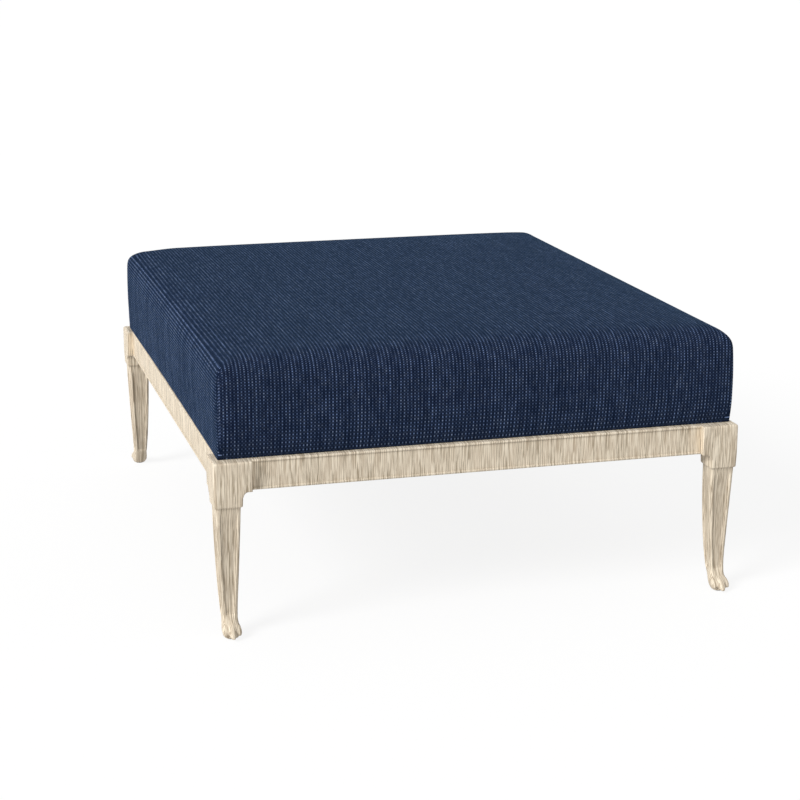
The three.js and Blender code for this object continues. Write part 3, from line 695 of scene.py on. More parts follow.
@dataclass(frozen=True)
class OpenFoam(Finish):
    """Pale open-cell foam."""

    name: str = "core_foam"
    light: Colour = (0.80, 0.76, 0.63)
    dark: Colour = (0.58, 0.54, 0.42)
    fineness: float = 700.0
    pores: Pair = (0.34, 0.56)
    patches: Numbers = (0.3, 0.7, 0.7, 1.0)
    roughness: Pair = (1.0, 0.9)
    relief: Pair = (0.0006, 0.6)

    def coats(self, graph: Graph, effects: Effects) -> dict[str, object]:
        """Opens pores in the foam, in soft patches.

        Args:
            graph: the material's graph.
            effects: the shared groups.

        Returns:
            What each input of the shader gets.
        """
        grain = graph.place(effects.grain, fineness=self.fineness)
        pore = graph.smooth(grain["Grain"], *self.pores)
        share = graph.times(pore, graph.smooth(grain["Mottle"], *self.patches))
        return {
            "Base Color": graph.mix(share, self.dark, self.light),
            "Roughness": graph.between(pore, *self.roughness),
            "Normal": graph.bump(pore, *self.relief),
        }


@dataclass(frozen=True)
class MouldedPlastic(Finish):
    """Grey moulded plastic, scuffed on its edges."""

    name: str = "glide_plastic"
    base: Colour = (0.26, 0.25, 0.235)
    scuffed: Colour = (0.42, 0.41, 0.39)
    fineness: float = 1500.0
    edge_width: float = 0.0006
    recess_reach: float = 0.004
    scuffs: Pair = (0.42, 0.62)
    scuff_share: float = 0.35
    roughness: Pair = (0.5, 0.72)
    relief: Pair = (0.0001, 0.4)

    def coats(self, graph: Graph, effects: Effects) -> dict[str, object]:
        """Scuffs the plastic along edges and in patches.

        Args:
            graph: the material's graph.
            effects: the shared groups.

        Returns:
            What each input of the shader gets.
        """
        grain = graph.place(effects.grain, fineness=self.fineness)
        marks = graph.place(effects.edges, edge_width=self.edge_width, recess_reach=self.recess_reach)
        worn = graph.times(graph.smooth(grain["Mottle"], *self.scuffs), self.scuff_share)
        worn = graph.larger(worn, marks["Edge"])
        return {
            "Base Color": graph.mix(worn, self.base, self.scuffed),
            "Roughness": graph.between(worn, *self.roughness),
            "Normal": graph.bump(grain["Grain"], *self.relief, marks["Normal"]),
        }


@dataclass(frozen=True)
class WornMetal(Finish):
    """Metal with fine brushing, soft stains, painted shade in its recesses and bright edges."""

    name: str
    base: Colour
    stain_and_shade: Colour
    bright: Colour
    fineness: float = 2600.0
    brush_fineness: float = 5.0
    brush_run: float = 40.0
    edge_width: float = 0.0003
    recess_reach: float = 0.0015
    stains: Pair = (0.4, 0.66)
    stain_share: float = 0.5
    roughness: Pair = (0.26, 0.46)
    relief: Pair = (0.00004, 0.4)

    def coats(self, graph: Graph, effects: Effects) -> dict[str, object]:
        """Brushes the metal, stains it in patches, darkens its recesses with painted shade and brightens its
        edges.

        Args:
            graph: the material's graph.
            effects: the shared groups.

        Returns:
            What each input of the shader gets.
        """
        panels = graph.place(effects.panels)
        grain = graph.place(effects.grain, fineness=self.fineness)
        brush = {"fineness": self.brush_fineness, "run": self.brush_run}
        brushed = graph.place(effects.streaks, along=panels["Up"], up=panels["Along"], **brush)
        marks = graph.place(effects.edges, edge_width=self.edge_width, recess_reach=self.recess_reach)
        stain = graph.times(graph.smooth(grain["Mottle"], *self.stains), self.stain_share)
        # Patchy stains are real; the recess darkening by ambient occlusion is painted shade.
        colour = graph.mix(graph.larger(stain, marks["Recess"]), self.base, self.stain_and_shade)
        return {
            "Base Color": graph.mix(marks["Edge"], colour, self.bright),
            "Metallic": 1.0,
            "Roughness": graph.between(brushed["Tone"], *self.roughness),
            "Normal": graph.bump(brushed["Tone"], *self.relief, marks["Normal"]),
        }


@dataclass(frozen=True)
class TapeCloth(Finish):
    """Fine woven zip tape, darker than the cover."""

    name: str = "zip_tape_weave"
    light: Colour = (0.022, 0.032, 0.062)
    dark: Colour = (0.007, 0.011, 0.026)
    warp_pitch: float = 0.0006
    weft_pitch: float = 0.0005
    height_share: float = 0.6
    slub_share: float = 0.4
    roughness: Pair = (0.92, 0.74)
    relief: Pair = (0.0002, 0.6)

    def coats(self, graph: Graph, effects: Effects) -> dict[str, object]:
        """Weaves the tape.

        Args:
            graph: the material's graph.
            effects: the shared groups.

        Returns:
            What each input of the shader gets.
        """
        panels = graph.place(effects.panels)
        pitches = {"warp_pitch": self.warp_pitch, "weft_pitch": self.weft_pitch}
        weave = graph.place(effects.weave, along=panels["Along"], up=panels["Up"], **pitches)
        slubs = graph.times(weave["Slub"], self.slub_share)
        tone = graph.math("MULTIPLY_ADD", weave["Height"], self.height_share, slubs)
        return {
            "Base Color": graph.mix(tone, self.dark, self.light),
            "Roughness": graph.between(tone, *self.roughness),
            "Normal": graph.bump(weave["Height"], *self.relief),
        }


# Meshes


def mesh_of(name: str, points: list[Vector], faces: list[list[int]]) -> Mesh:
    """Makes a closed mesh whose faces all look outward.

    Args:
        name: its name.
        points: its points.
        faces: its faces.

    Returns:
        The mesh.
    """
    mesh = bpy.data.meshes.new(name)
    mesh.from_pydata(points, [], faces)
    shell = bmesh.new()
    shell.from_mesh(mesh)
    bmesh.ops.recalc_face_normals(shell, faces=shell.faces)
    shell.to_mesh(mesh)
    shell.free()
    return mesh


def sleeve(faces: list[list[int]], first: int, count: int, levels: int) -> None:
    """Adds the faces of a closed strip of levels, each a ring of points.

    Args:
        faces: the faces so far.
        first: the first point.
        count: how many points a ring has.
        levels: how many bands of faces there are between the rings.
    """
    for low in range(first, first + levels * count, count):
        for corner in range(count):
            following = (corner + 1) % count
            high = low + count
            faces.append([low + corner, low + following, high + following, high + corner])
    faces.append([first + corner for corner in reversed(range(count))])
    faces.append([first + levels * count + corner for corner in range(count)])


def piece_of(name: str, mesh: Mesh, material: Material) -> Object:
    """Makes an object of a mesh and puts it in the scene.

    Args:
        name: the piece's name.
        mesh: its mesh.
        material: its finish.

    Returns:
        The object.
    """
    mesh.name = name
    mesh.materials.clear()
    mesh.materials.append(material)
    piece = bpy.data.objects.new(name, mesh)
    bpy.context.scene.collection.objects.link(piece)
    return piece


def baked_modifiers(piece: Object) -> None:
    """Applies all modifiers of a piece to its mesh, and shades it smooth.

    Args:
        piece: the piece.
    """
    graph = bpy.context.evaluated_depsgraph_get()
    mesh = bpy.data.meshes.new_from_object(piece.evaluated_get(graph), depsgraph=graph)
    old = piece.data
    mesh.name = old.name
    piece.modifiers.clear()
    piece.data = mesh
    bpy.data.meshes.remove(old)
    for face in mesh.polygons:
        face.use_smooth = True


def soften(piece: Object, steps: int, where: str = "", share: float = 0.5) -> None:
    """Adds a modifier that smooths a piece, everywhere or in a vertex group.

    Args:
        piece: the piece.
        steps: how many times it is smoothed.
        where: the vertex group's name.
        share: how far a point moves toward its neighbours each time.
    """
    modifier = piece.modifiers.new("soften", "SMOOTH")
    modifier.factor = share
    modifier.iterations = steps
    modifier.vertex_group = where


def round_off(piece: Object) -> None:
    """Subdivides a piece once.

    Args:
        piece: the piece.
    """
    modifier = piece.modifiers.new("round", "SUBSURF")
    modifier.levels = modifier.render_levels = 1
    baked_modifiers(piece)


def give_finish(node: str, material: Material) -> None:
    """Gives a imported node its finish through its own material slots."""
    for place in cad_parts[node].material_slots:
        place.material = material


def smoothstep(share: float) -> float:
    """A soft step from 0 to 1."""
    held = min(1.0, max(0.0, share))
    return held * held * (3 - 2 * held)


# Sub-assemblies


@dataclass
class CornerCastings:
    """The four cast legs with their corner blocks and paws, as soft-edged castings.

    The flutes are darkened by depth, counted in flute depths, as settled wash and painted shade: a wall or
    floor has where its soft step starts and how far it reaches.
    """

    corners: tuple[str, ...] = ("front_left", "front_right", "back_left", "back_right")
    cast_grain: float = 0.0009
    soften_steps: int = 1
    paw_steps: int = 60
    paw_start: float = 0.003
    paw_top: float = 0.030
    paw_blend: float = 0.006
    leg_low: float = 0.031
    leg_top: float = 0.1795
    slice_height: float = 0.002
    flute_depth: float = 0.002
    wall_start: Pair = (0.15, 0.35)
    wall_end: Pair = (0.98, 0.28)
    wall_wash_and_shade: float = 0.75
    floor_start: Pair = (0.4, 0.5)
    floor_wash_and_shade: float = 0.26
    ramp_low: float = 0.166
    ramp_blend: float = 0.012

    def build(self, wash: Material) -> None:
        """Makes a casting for each corner."""
        for corner in self.corners:
            self.casting(corner, wash)

    def casting(self, corner: str, wash: Material) -> None:
        """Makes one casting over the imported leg's form, with every edge soft as from a sand mould.

        Args:
            corner: which corner it stands at.
            wash: the finish of the frame.
        """
        node = f"leg_{corner}"
        piece = piece_of(f"casting_{corner}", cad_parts[node].data.copy(), wash)
        remesh = piece.modifiers.new("skin", "REMESH")
        remesh.mode = "VOXEL"
        remesh.voxel_size = self.cast_grain
        soften(piece, self.soften_steps)
        baked_modifiers(piece)
        self.soften_paw(piece)
        self.mark_flutes(piece)
        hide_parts(node)
        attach(piece, Body.FRAME.value)
        log.info("casting %s: %d faces", corner, len(piece.data.polygons))

    def soften_paw(self, piece: Object) -> None:
        """Fills the grooves between the toes, as the wash does.

        Args:
            piece: the casting.
        """
        paw = piece.vertex_groups.new(name="paw")
        for vertex in piece.data.vertices:
            height = vertex.co.z
            if self.paw_start < height < self.paw_top:
                below = (height - self.paw_start) / self.paw_blend
                above = (self.paw_top - height) / self.paw_blend
                paw.add([vertex.index], min(1.0, below, above), "REPLACE")
        soften(piece, self.paw_steps, paw.name)
        baked_modifiers(piece)
        piece.vertex_groups.clear()

    def mark_flutes(self, piece: Object) -> None:
        """Marks how dark the flutes are painted, as settled wash and painted shade: most on their walls, a
        little on their floors.

        Args:
            piece: the casting.
        """
        slices: dict[int, list[Vector]] = {}
        for vertex in piece.data.vertices:
            if self.leg_low < vertex.co.z < self.leg_top:
                slices.setdefault(int(vertex.co.z / self.slice_height), []).append(vertex.co)
        boxes = {}
        for height, points in slices.items():
            across, deep = [point.x for point in points], [point.y for point in points]
            boxes[height] = (min(across), max(across), min(deep), max(deep))
        wash_and_shade = []
        for vertex in piece.data.vertices:
            x, y, z = vertex.co
            box = boxes.get(int(z / self.slice_height))
            if not box or not self.leg_low < z < self.leg_top:
                wash_and_shade.append(0.0)
                continue
            depth = min(x - box[0], box[1] - x, y - box[2], box[3] - y) / self.flute_depth
            wall = smoothstep((depth - self.wall_start[0]) / self.wall_start[1])
            wall *= smoothstep((self.wall_end[0] - depth) / self.wall_end[1])
            wall *= smoothstep((self.ramp_low - z) / self.ramp_blend)
            floor = smoothstep((depth - self.floor_start[0]) / self.floor_start[1])
            # Painted shade with some settled wash: darkest on the flute walls, lighter on their floors.
            wash_and_shade.append(max(self.wall_wash_and_shade * wall, self.floor_wash_and_shade * floor))
        marks = piece.data.attributes.new(FLUTE_WASH_AND_SHADE, "FLOAT", "POINT")
        marks.data.foreach_set("value", wash_and_shade)


@dataclass
class FrameParts:
    """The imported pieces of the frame, each kind known by a word in its nodes' names."""

    rails: str = "_rail"
    slats: str = "deck_slat_"
    ledges: str = "slat_ledge_"
    screws: str = "_screw_"
    glides: str = "glide_"

    def dress(self, word: str, finish: Material) -> None:
        """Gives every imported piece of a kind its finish.

        Args:
            word: the word in the names of its nodes.
            finish: its finish.
        """
        members = [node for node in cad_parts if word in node]
        for node in members:
            give_finish(node, finish)
        log.info("%s: %d dressed", ", ".join(members), len(members))


@dataclass
class CushionForm:
    """The shape of the box cushion: a grid over a box with rounded edges and a tucked-in base.

    Its right side stands fuller than its left, and each end of the top falls off in its own way.
    """

    half_x: float = 0.3745
    half_y: float = 0.438
    base: float = 0.2488
    edge_height: float = 0.1408
    zip_height: float = 0.3183
    crown: float = 0.006
    shrink: float = 0.0
    edge_radius: float = 0.027
    corner_radius: float = 0.008
    base_corner_radius: float = 0.002
    corner_reach: Pair = (0.82, 0.16)
    tuck_side: float = -0.0005
    tuck_front: float = 0.0085
    tuck_height: float = 0.040
    tuck_fall: float = 1.9
    tuck_steps: int = 6
    base_edge: float = 0.0012
    right_in: float = -0.0013
    right_curve: float = 0.0029
    right_middle: float = -0.2
    right_fall: float = 0.0012
    left_fall: float = 0.0032
    left_fall_start: float = 0.020
    fall_reach: float = 0.065
    bulge: float = 0.0015
    draw: float = 0.002
    slot_half_length: float = 0.292
    slot_half_height: float = 0.0059
    slot_depth: float = 0.0028
    slot_lines: Numbers = (0.0, 0.001, 0.004)
    depth_mark: float = 0.6
    spacing: float = 0.0098
    arc_steps: int = 5

    def __post_init__(self) -> None:
        """Works out the stations of the grid along each direction."""
        self.top = self.base + self.edge_height
        self.across = self.stations(self.half_x, self.slot_half_length)
        self.deep = self.stations(self.half_y, self.half_y * self.depth_mark)
        self.levels = self.level_list()

    def stations(self, half: float, mark: float) -> list[Pair]:
        """Places across the top, with how far each has turned down over the edge.

        Args:
            half: half of the cushion's size in this direction.
            mark: a place that a grid line runs through.

        Returns:
            For each station its place, and its angle over the rounded edge.
        """
        flat = half - self.edge_radius
        near = max(2, round(mark / self.spacing))
        far = max(1, round((flat - mark) / self.spacing))
        right = [(mark * step / near, 0.0) for step in range(1, near + 1)]
        right += [(mark + (flat - mark) * step / far, 0.0) for step in range(1, far + 1)]
        for step in range(1, self.arc_steps + 1):
            angle = math.pi / 2 * step / self.arc_steps
            right.append((flat + self.edge_radius * math.sin(angle), angle))
        left = [(-place, angle) for place, angle in reversed(right)]
        return left + [(0.0, 0.0)] + right

    def level_list(self) -> list[Pair]:
        """Heights of the side's grid lines under the rounded edge, with how far each is tucked in.

        Returns:
            For each level its height and its share of the tuck.
        """
        shares = [0.0, self.base_edge / self.tuck_height]
        shares += [step / self.tuck_steps for step in range(1, self.tuck_steps)]
        levels = [(self.base + self.tuck_height * share, (1 - share) ** self.tuck_fall) for share in shares]
        low, high = self.zip_height - self.slot_half_height, self.zip_height + self.slot_half_height
        marks = [self.base + self.tuck_height]
        marks += [low - past for past in reversed(self.slot_lines)] + [self.zip_height]
        marks += [high + past for past in self.slot_lines] + [self.top - self.edge_radius]
        for low, high in zip(marks, marks[1:]):
            steps = max(1, round((high - low) / self.spacing))
            levels += [(low + (high - low) * step / steps, 0.0) for step in range(steps)]
        return levels

    def position(self, i: int, j: int, k: int) -> Vector:
        """Where a grid point lies.

        Args:
            i: its station across.
            j: its station in depth.
            k: its level; the last level is the top.

        Returns:
            The point.
        """
        (x, turn_x), (y, turn_y) = self.across[i], self.deep[j]
        if k == len(self.levels):
            turn = max(turn_x, turn_y)
            z = self.top - self.edge_radius * (1 - math.cos(turn))
            inset_x = inset_y = self.edge_radius * (1 - math.sin(turn))
            radius = self.corner_radius
        else:
            z, share = self.levels[k]
            turn = 1.0
            inset_x, inset_y = self.tuck_side * share, self.tuck_front * share
            x *= (self.half_x - inset_x) / self.half_x
            y *= (self.half_y - inset_y) / self.half_y
            radius = self.corner_radius + (self.base_corner_radius - self.corner_radius) * share
        if turn > 0:
            x, y = self.rounded(x, y, self.half_x - inset_x, self.half_y - inset_y, radius)
        return self.shaped(Vector((x, y, z)))

    def rounded(self, x: float, y: float, half_x: float, half_y: float, radius: float) -> Pair:
        """Rounds a level's corner in plan.

        Args:
            x: the place across.
            y: the place in depth.
            half_x: half of the level's width.
            half_y: half of its depth.
            radius: the corner's radius.

        Returns:
            The place on the rounded outline.
        """
        out_x, out_y = abs(x) - (half_x - radius), abs(y) - (half_y - radius)
        length = math.hypot(out_x, out_y)
        if out_x <= 0 or out_y <= 0 or length <= radius:
            return x, y
        scale = radius / length
        return (
            math.copysign(half_x - radius + out_x * scale, x),
            math.copysign(half_y - radius + out_y * scale, y),
        )

    def shaped(self, point: Vector) -> Vector:
        """Adds the crown, the bulge of the sides and their draw between the corners.

        Args:
            point: a point of the plain rounded box.

        Returns:
            The shaped point.
        """
        share_x, share_y = point.x / self.half_x, point.y / self.half_y
        share_z = (point.z - self.zip_height) / (self.edge_height / 2)
        start, reach = self.corner_reach
        near_x, near_y = (smoothstep((abs(share) - start) / reach) for share in (share_x, share_y))
        bulge = self.bulge * share_z * share_z
        if point.x > 0:
            in_x = near_x * (self.right_in + self.right_curve * (share_z - self.right_middle) ** 2)
        else:
            in_x = near_x * (bulge + self.shrink + self.draw * (1 - share_y * share_y))
        front = 1.0 if point.y < 0 else 0.0
        in_y = near_y * (bulge + front * (self.shrink + self.draw * (1 - share_x * share_x)))
        x = point.x - in_x * math.copysign(1.0, point.x)
        y = point.y - in_y * math.copysign(1.0, point.y)
        above = smoothstep((point.z - self.top + self.edge_radius) / self.edge_radius)
        dome = math.sqrt(max(0.0, 1 - share_x**2) * max(0.0, 1 - share_y**2))
        from_left = self.half_x + point.x - self.left_fall_start
        fall = self.left_fall * (1 - smoothstep(from_left / self.fall_reach))
        fall += self.right_fall * (1 - smoothstep((self.half_x - point.x) / self.fall_reach))
        return Vector((x, y, point.z + above * (self.crown * dome - self.shrink - fall)))

    def mesh(self, name: str) -> tuple[Mesh, dict[Key, int]]:
        """Makes the closed grid.

        Args:
            name: the mesh's name.

        Returns:
            The mesh, and the place of each grid point among its vertices.
        """
        last_i, last_j, last_k = len(self.across) - 1, len(self.deep) - 1, len(self.levels)
        places: dict[Key, int] = {}
        points: list[Vector] = []
        faces: list[list[int]] = []

        def vertex(key: Key) -> int:
            """The vertex at a grid point, made when it is first asked for.

            Args:
                key: the grid point.

            Returns:
                Its number.
            """
            if key not in places:
                places[key] = len(points)
                points.append(self.position(*key))
            return places[key]

        def cell(u: int, v: int, near: Callable[[int, int], Key], far: Callable[[int, int], Key]) -> None:
            """Adds the two faces that lie opposite each other at one cell of the grid.

            Args:
                u: the cell's first number.
                v: its second number.
                near: what turns two numbers into a grid point of the nearer side.
                far: the same for the side opposite it.
            """
            ring = [(u, v), (u, v + 1), (u + 1, v + 1), (u + 1, v)]
            faces.append([vertex(near(*corner)) for corner in ring])
            faces.append([vertex(far(*ring[turn])) for turn in (0, 3, 2, 1)])

        for i in range(last_i):
            for j in range(last_j):
                cell(i, j, lambda i, j: (i, j, 0), lambda i, j: (i, j, last_k))
        for k in range(last_k):
            for i in range(last_i):
                cell(k, i, lambda k, i: (i, 0, k), lambda k, i: (i, last_j, k))
            for j in range(last_j):
                cell(j, k, lambda j, k: (0, j, k), lambda j, k: (last_i, j, k))
        mesh = bpy.data.meshes.new(name)
        mesh.from_pydata(points, [], faces)
        mesh.validate()
        return mesh, places


@dataclass
class Cushion:
    """The loose box cushion: a sewn cover over a foam block, without piping."""

    form: CushionForm = field(default_factory=lambda: CushionForm(shrink=0.0018, crown=0.0022))
    core_form: CushionForm = field(default_factory=lambda: CushionForm(spacing=0.03, arc_steps=3))
    core_inset: float = 0.006
    pressure: float = 4.0
    steps: int = 20
    quality: int = 4
    mass: float = 0.3
    stretch_stiffness: float = 15.0
    shear_stiffness: float = 5.0
    bending_stiffness: float = 0.5
    most_swell: float = 0.0065
    panel_hold: float = 0.5
    seam_hold: float = 0.75
    seam_reach: float = 0.012
    hold_stiffness: float = 0.012
    pinned_reach: float = 0.31
    pinned_rise: float = 0.0045
    slack: float = 1e-6

    def build(self, cloth: Material, foam: Material) -> None:
        """Makes the cover and the foam block."""
        self.cover(cloth)
        self.core(foam)

    def cover(self, cloth: Material) -> None:
        """Makes the cover, lets it swell over its filling and opens the slot for the zip.

        Args:
            cloth: its finish.
        """
        mesh, places = self.form.mesh("cushion_sewn_cover")
        piece = piece_of("cushion_sewn_cover", mesh, cloth)
        self.swell(piece, places)
        self.open_slot(piece, places)
        round_off(piece)
        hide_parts("cushion_cover")
        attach(piece, Body.CUSHION.value)
        log.info("cover: %d faces", len(piece.data.polygons))

    def swell(self, piece: Object, places: dict[Key, int]) -> None:
        """Blows the cover up a little as cloth, with its base and the zip's edges held.

        Args:
            piece: the cover.
            places: its grid points.
        """
        held = piece.vertex_groups.new(name="held")
        last = len(self.form.deep) - 1
        rise = self.form.slot_half_height + self.pinned_rise
        for (_, j, k), place in places.items():
            point = piece.data.vertices[place].co
            by_zip = abs(point.z - self.form.zip_height) < rise and abs(point.x) < self.pinned_reach
            firm = k <= self.form.tuck_steps or (j == last and by_zip)
            held.add([place], 1.0 if firm else self.hold_at(point), "REPLACE")
        start = [vertex.co.copy() for vertex in piece.data.vertices]
        cloth = piece.modifiers.new("swell", "CLOTH")
        settings = cloth.settings
        settings.quality = self.quality
        settings.mass = self.mass
        settings.tension_stiffness = settings.compression_stiffness = self.stretch_stiffness
        settings.shear_stiffness = self.shear_stiffness
        settings.bending_stiffness = self.bending_stiffness
        settings.vertex_group_mass = held.name
        settings.pin_stiffness = self.hold_stiffness
        settings.use_pressure = True
        settings.uniform_pressure_force = self.pressure
        settings.effector_weights.gravity = 0.0
        cloth.collision_settings.use_collision = False
        cloth.point_cache.frame_start = 1
        cloth.point_cache.frame_end = self.steps
        scene = bpy.context.scene
        for step in range(1, self.steps + 1):
            scene.frame_set(step)
        graph = bpy.context.evaluated_depsgraph_get()
        moved = [vertex.co.copy() for vertex in piece.evaluated_get(graph).data.vertices]
        piece.modifiers.clear()
        piece.vertex_groups.clear()
        farthest = 0.0
        for vertex, first, swollen in zip(piece.data.vertices, start, moved):
            shift = swollen - first
            farthest = max(farthest, shift.length)
            if shift.length > self.most_swell:
                shift *= self.most_swell / shift.length
            vertex.co = first + shift
        scene.frame_set(1)
        log.info("swell: farthest %.1f mm, kept to %.1f mm", farthest * 1000, self.most_swell * 1000)

    def hold_at(self, point: Vector) -> float:
        """How firmly the filling holds the cover, more so along its seams.

        Args:
            point: a point of the cover.

        Returns:
            The weight of its hold.
        """
        in_x = self.form.half_x - abs(point.x)
        in_other = min(self.form.half_y - abs(point.y), self.form.top - point.z)
        if max(in_x, in_other) > self.form.edge_radius:
            return self.panel_hold
        near = max(0.0, 1 - abs(in_x - in_other) / self.seam_reach)
        return self.panel_hold + (self.seam_hold - self.panel_hold) * near

    def open_slot(self, piece: Object, places: dict[Key, int]) -> None:
        """Sinks the slot for the zip into the back panel, as a closed channel.

        Args:
            piece: the cover.
            places: its grid points.
        """
        form = self.form
        inside = set()
        for (i, j, k), place in places.items():
            if j != len(form.deep) - 1 or k >= len(form.levels):
                continue
            tall = abs(form.levels[k][0] - form.zip_height) <= form.slot_half_height + self.slack
            if tall and abs(form.across[i][0]) <= form.slot_half_length + self.slack:
                inside.add(place)
        shell = bmesh.new()
        shell.from_mesh(piece.data)
        faces = [face for face in shell.faces if all(corner.index in inside for corner in face.verts)]
        made = bmesh.ops.extrude_face_region(shell, geom=faces)
        floor = [item for item in made["geom"] if isinstance(item, bmesh.types.BMVert)]
        bmesh.ops.translate(shell, verts=floor, vec=Vector((0.0, -form.slot_depth, 0.0)))
        bmesh.ops.delete(shell, geom=faces, context="FACES")
        bmesh.ops.recalc_face_normals(shell, faces=shell.faces)
        shell.to_mesh(piece.data)
        shell.free()

    def core(self, foam: Material) -> None:
        """Makes the foam block that fills the cover.

        Args:
            foam: its finish.
        """
        form = self.core_form
        mesh, _ = form.mesh("cushion_foam_block")
        middle = Vector((0.0, 0.0, form.base + form.edge_height / 2))
        half = Vector((form.half_x, form.half_y, form.edge_height / 2))
        share = Vector(1 - self.core_inset / size for size in half)
        for vertex in mesh.vertices:
            vertex.co = middle + (vertex.co - middle) * share
        piece = piece_of("cushion_foam_block", mesh, foam)
        round_off(piece)
        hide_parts("cushion_core")
        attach(piece, Body.CUSHION.value)
        log.info("foam block: %d faces", len(piece.data.polygons))


@dataclass
class Zip:
    """The zip in the back panel: tapes, a row of teeth on each, end stops, slider and pull.

    A tooth's stem and neck each have a share of its half width and the height where they end.
    """

    plane: float = 0.438
    height: float = 0.3183
    half_length: float = 0.280
    metal_nodes: tuple[str, ...] = ("zip_stop_left", "zip_stop_right", "zip_slider", "zip_pull")
    tape_half_length: float = 0.2917
    tape_low: float = 0.0027
    tape_high: float = 0.0057
    tape_outer: float = -0.0004
    tape_inner: float = -0.0016
    tape_steps: int = 96
    cord: float = 0.0007
    cord_proud: float = 0.0002
    cord_round: float = 0.0001
    pitch: float = 0.0019
    tooth_width: float = 0.0011
    tooth_reach: float = 0.0024
    tooth_past_middle: float = 0.00065
    tooth_outer: float = 0.0004
    tooth_inner: float = -0.0012
    tooth_round: float = 0.0002
    tooth_face: float = 0.72
    tooth_stem: Pair = (0.8, 0.0008)
    tooth_neck: Pair = (0.55, 0.0002)
    tooth_tip: float = 0.5

    def build(self, tape: Material, metal: Material) -> None:
        """Makes the tapes and the teeth, and dresses the metal pieces.

        Args:
            tape: the finish of the tapes.
            metal: the finish of teeth, stops, slider and pull.
        """
        self.tape("upper", 1.0, tape)
        self.tape("lower", -1.0, tape)
        self.teeth(metal)
        for node in self.metal_nodes:
            give_finish(node, metal)
        log.info("zip: %d metal pieces dressed", len(self.metal_nodes))

    def ring(self, outline: list[Pair], x: float, side: float) -> list[Vector]:
        """The points of an outline across the zip.

        Args:
            outline: for each point its distance from the zip's middle line and from its plane.
            x: the place along the zip.
            side: 1 above the middle line, -1 below it.

        Returns:
            The points.
        """
        return [Vector((x, self.plane + out, self.height + side * rise)) for rise, out in outline]

    def tape(self, which: str, side: float, finish: Material) -> None:
        """Makes one tape: a flat woven strip with a thicker corded edge beside the teeth.

        Args:
            which: upper or lower.
            side: 1 for the upper tape, -1 for the lower.
            finish: its finish.
        """
        outline = [
            (self.tape_low, self.tape_inner),
            (self.tape_high, self.tape_inner),
            (self.tape_high, self.tape_outer - self.cord_proud),
            (self.tape_low + self.cord * 2, self.tape_outer - self.cord_proud),
            (self.tape_low + self.cord, self.tape_outer),
            (self.tape_low, self.tape_outer - self.cord_round),
        ]
        points: list[Vector] = []
        faces: list[list[int]] = []
        for step in range(self.tape_steps + 1):
            points += self.ring(outline, self.tape_half_length * (2 * step / self.tape_steps - 1), side)
        sleeve(faces, 0, len(outline), self.tape_steps)
        piece = piece_of(f"zip_woven_tape_{which}", mesh_of("tape", points, faces), finish)
        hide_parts(f"zip_tape_{which}")
        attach(piece, Body.CUSHION.value)
        log.info("zip tape %s: %d faces", which, len(faces))

    def teeth(self, metal: Material) -> None:
        """Makes the closed row of teeth, from both tapes in turn.

        Args:
            metal: their finish.
        """
        points: list[Vector] = []
        faces: list[list[int]] = []
        count = int(self.half_length * 2 / self.pitch)
        start = -count * self.pitch / 2
        for step in range(count):
            for share, side in ((0.25, 1.0), (0.75, -1.0)):
                self.tooth(points, faces, start + (step + share) * self.pitch, side)
        piece = piece_of("zip_tooth_row", mesh_of("teeth", points, faces), metal)
        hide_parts("zip_chain")
        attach(piece, Body.CUSHION.value)
        log.info("zip teeth: %d", count * 2)

    def tooth(self, points: list[Vector], faces: list[list[int]], x: float, side: float) -> None:
        """Adds one tooth: a flat-topped bar with a rounded head past the middle.

        Args:
            points: the points so far.
            faces: the faces so far.
            x: the tooth's middle along the zip.
            side: 1 from the upper tape, -1 from the lower.
        """
        half = self.tooth_width / 2
        (stem, stem_end), (neck, neck_end) = self.tooth_stem, self.tooth_neck
        outline = [
            (half * stem, self.tooth_reach),
            (half * stem, stem_end),
            (half * neck, neck_end),
            (half, -self.tooth_past_middle / 2),
            (half * self.tooth_tip, -self.tooth_past_middle),
        ]
        outline += [(-across, rise) for across, rise in reversed(outline)]
        first = len(points)
        shoulder = self.tooth_outer - self.tooth_round
        for out, share in ((self.tooth_inner, 1.0), (shoulder, 1.0), (self.tooth_outer, self.tooth_face)):
            for across, rise in outline:
                points += self.ring([(rise, out)], x + across * share, side)
        sleeve(faces, first, len(outline), 2)


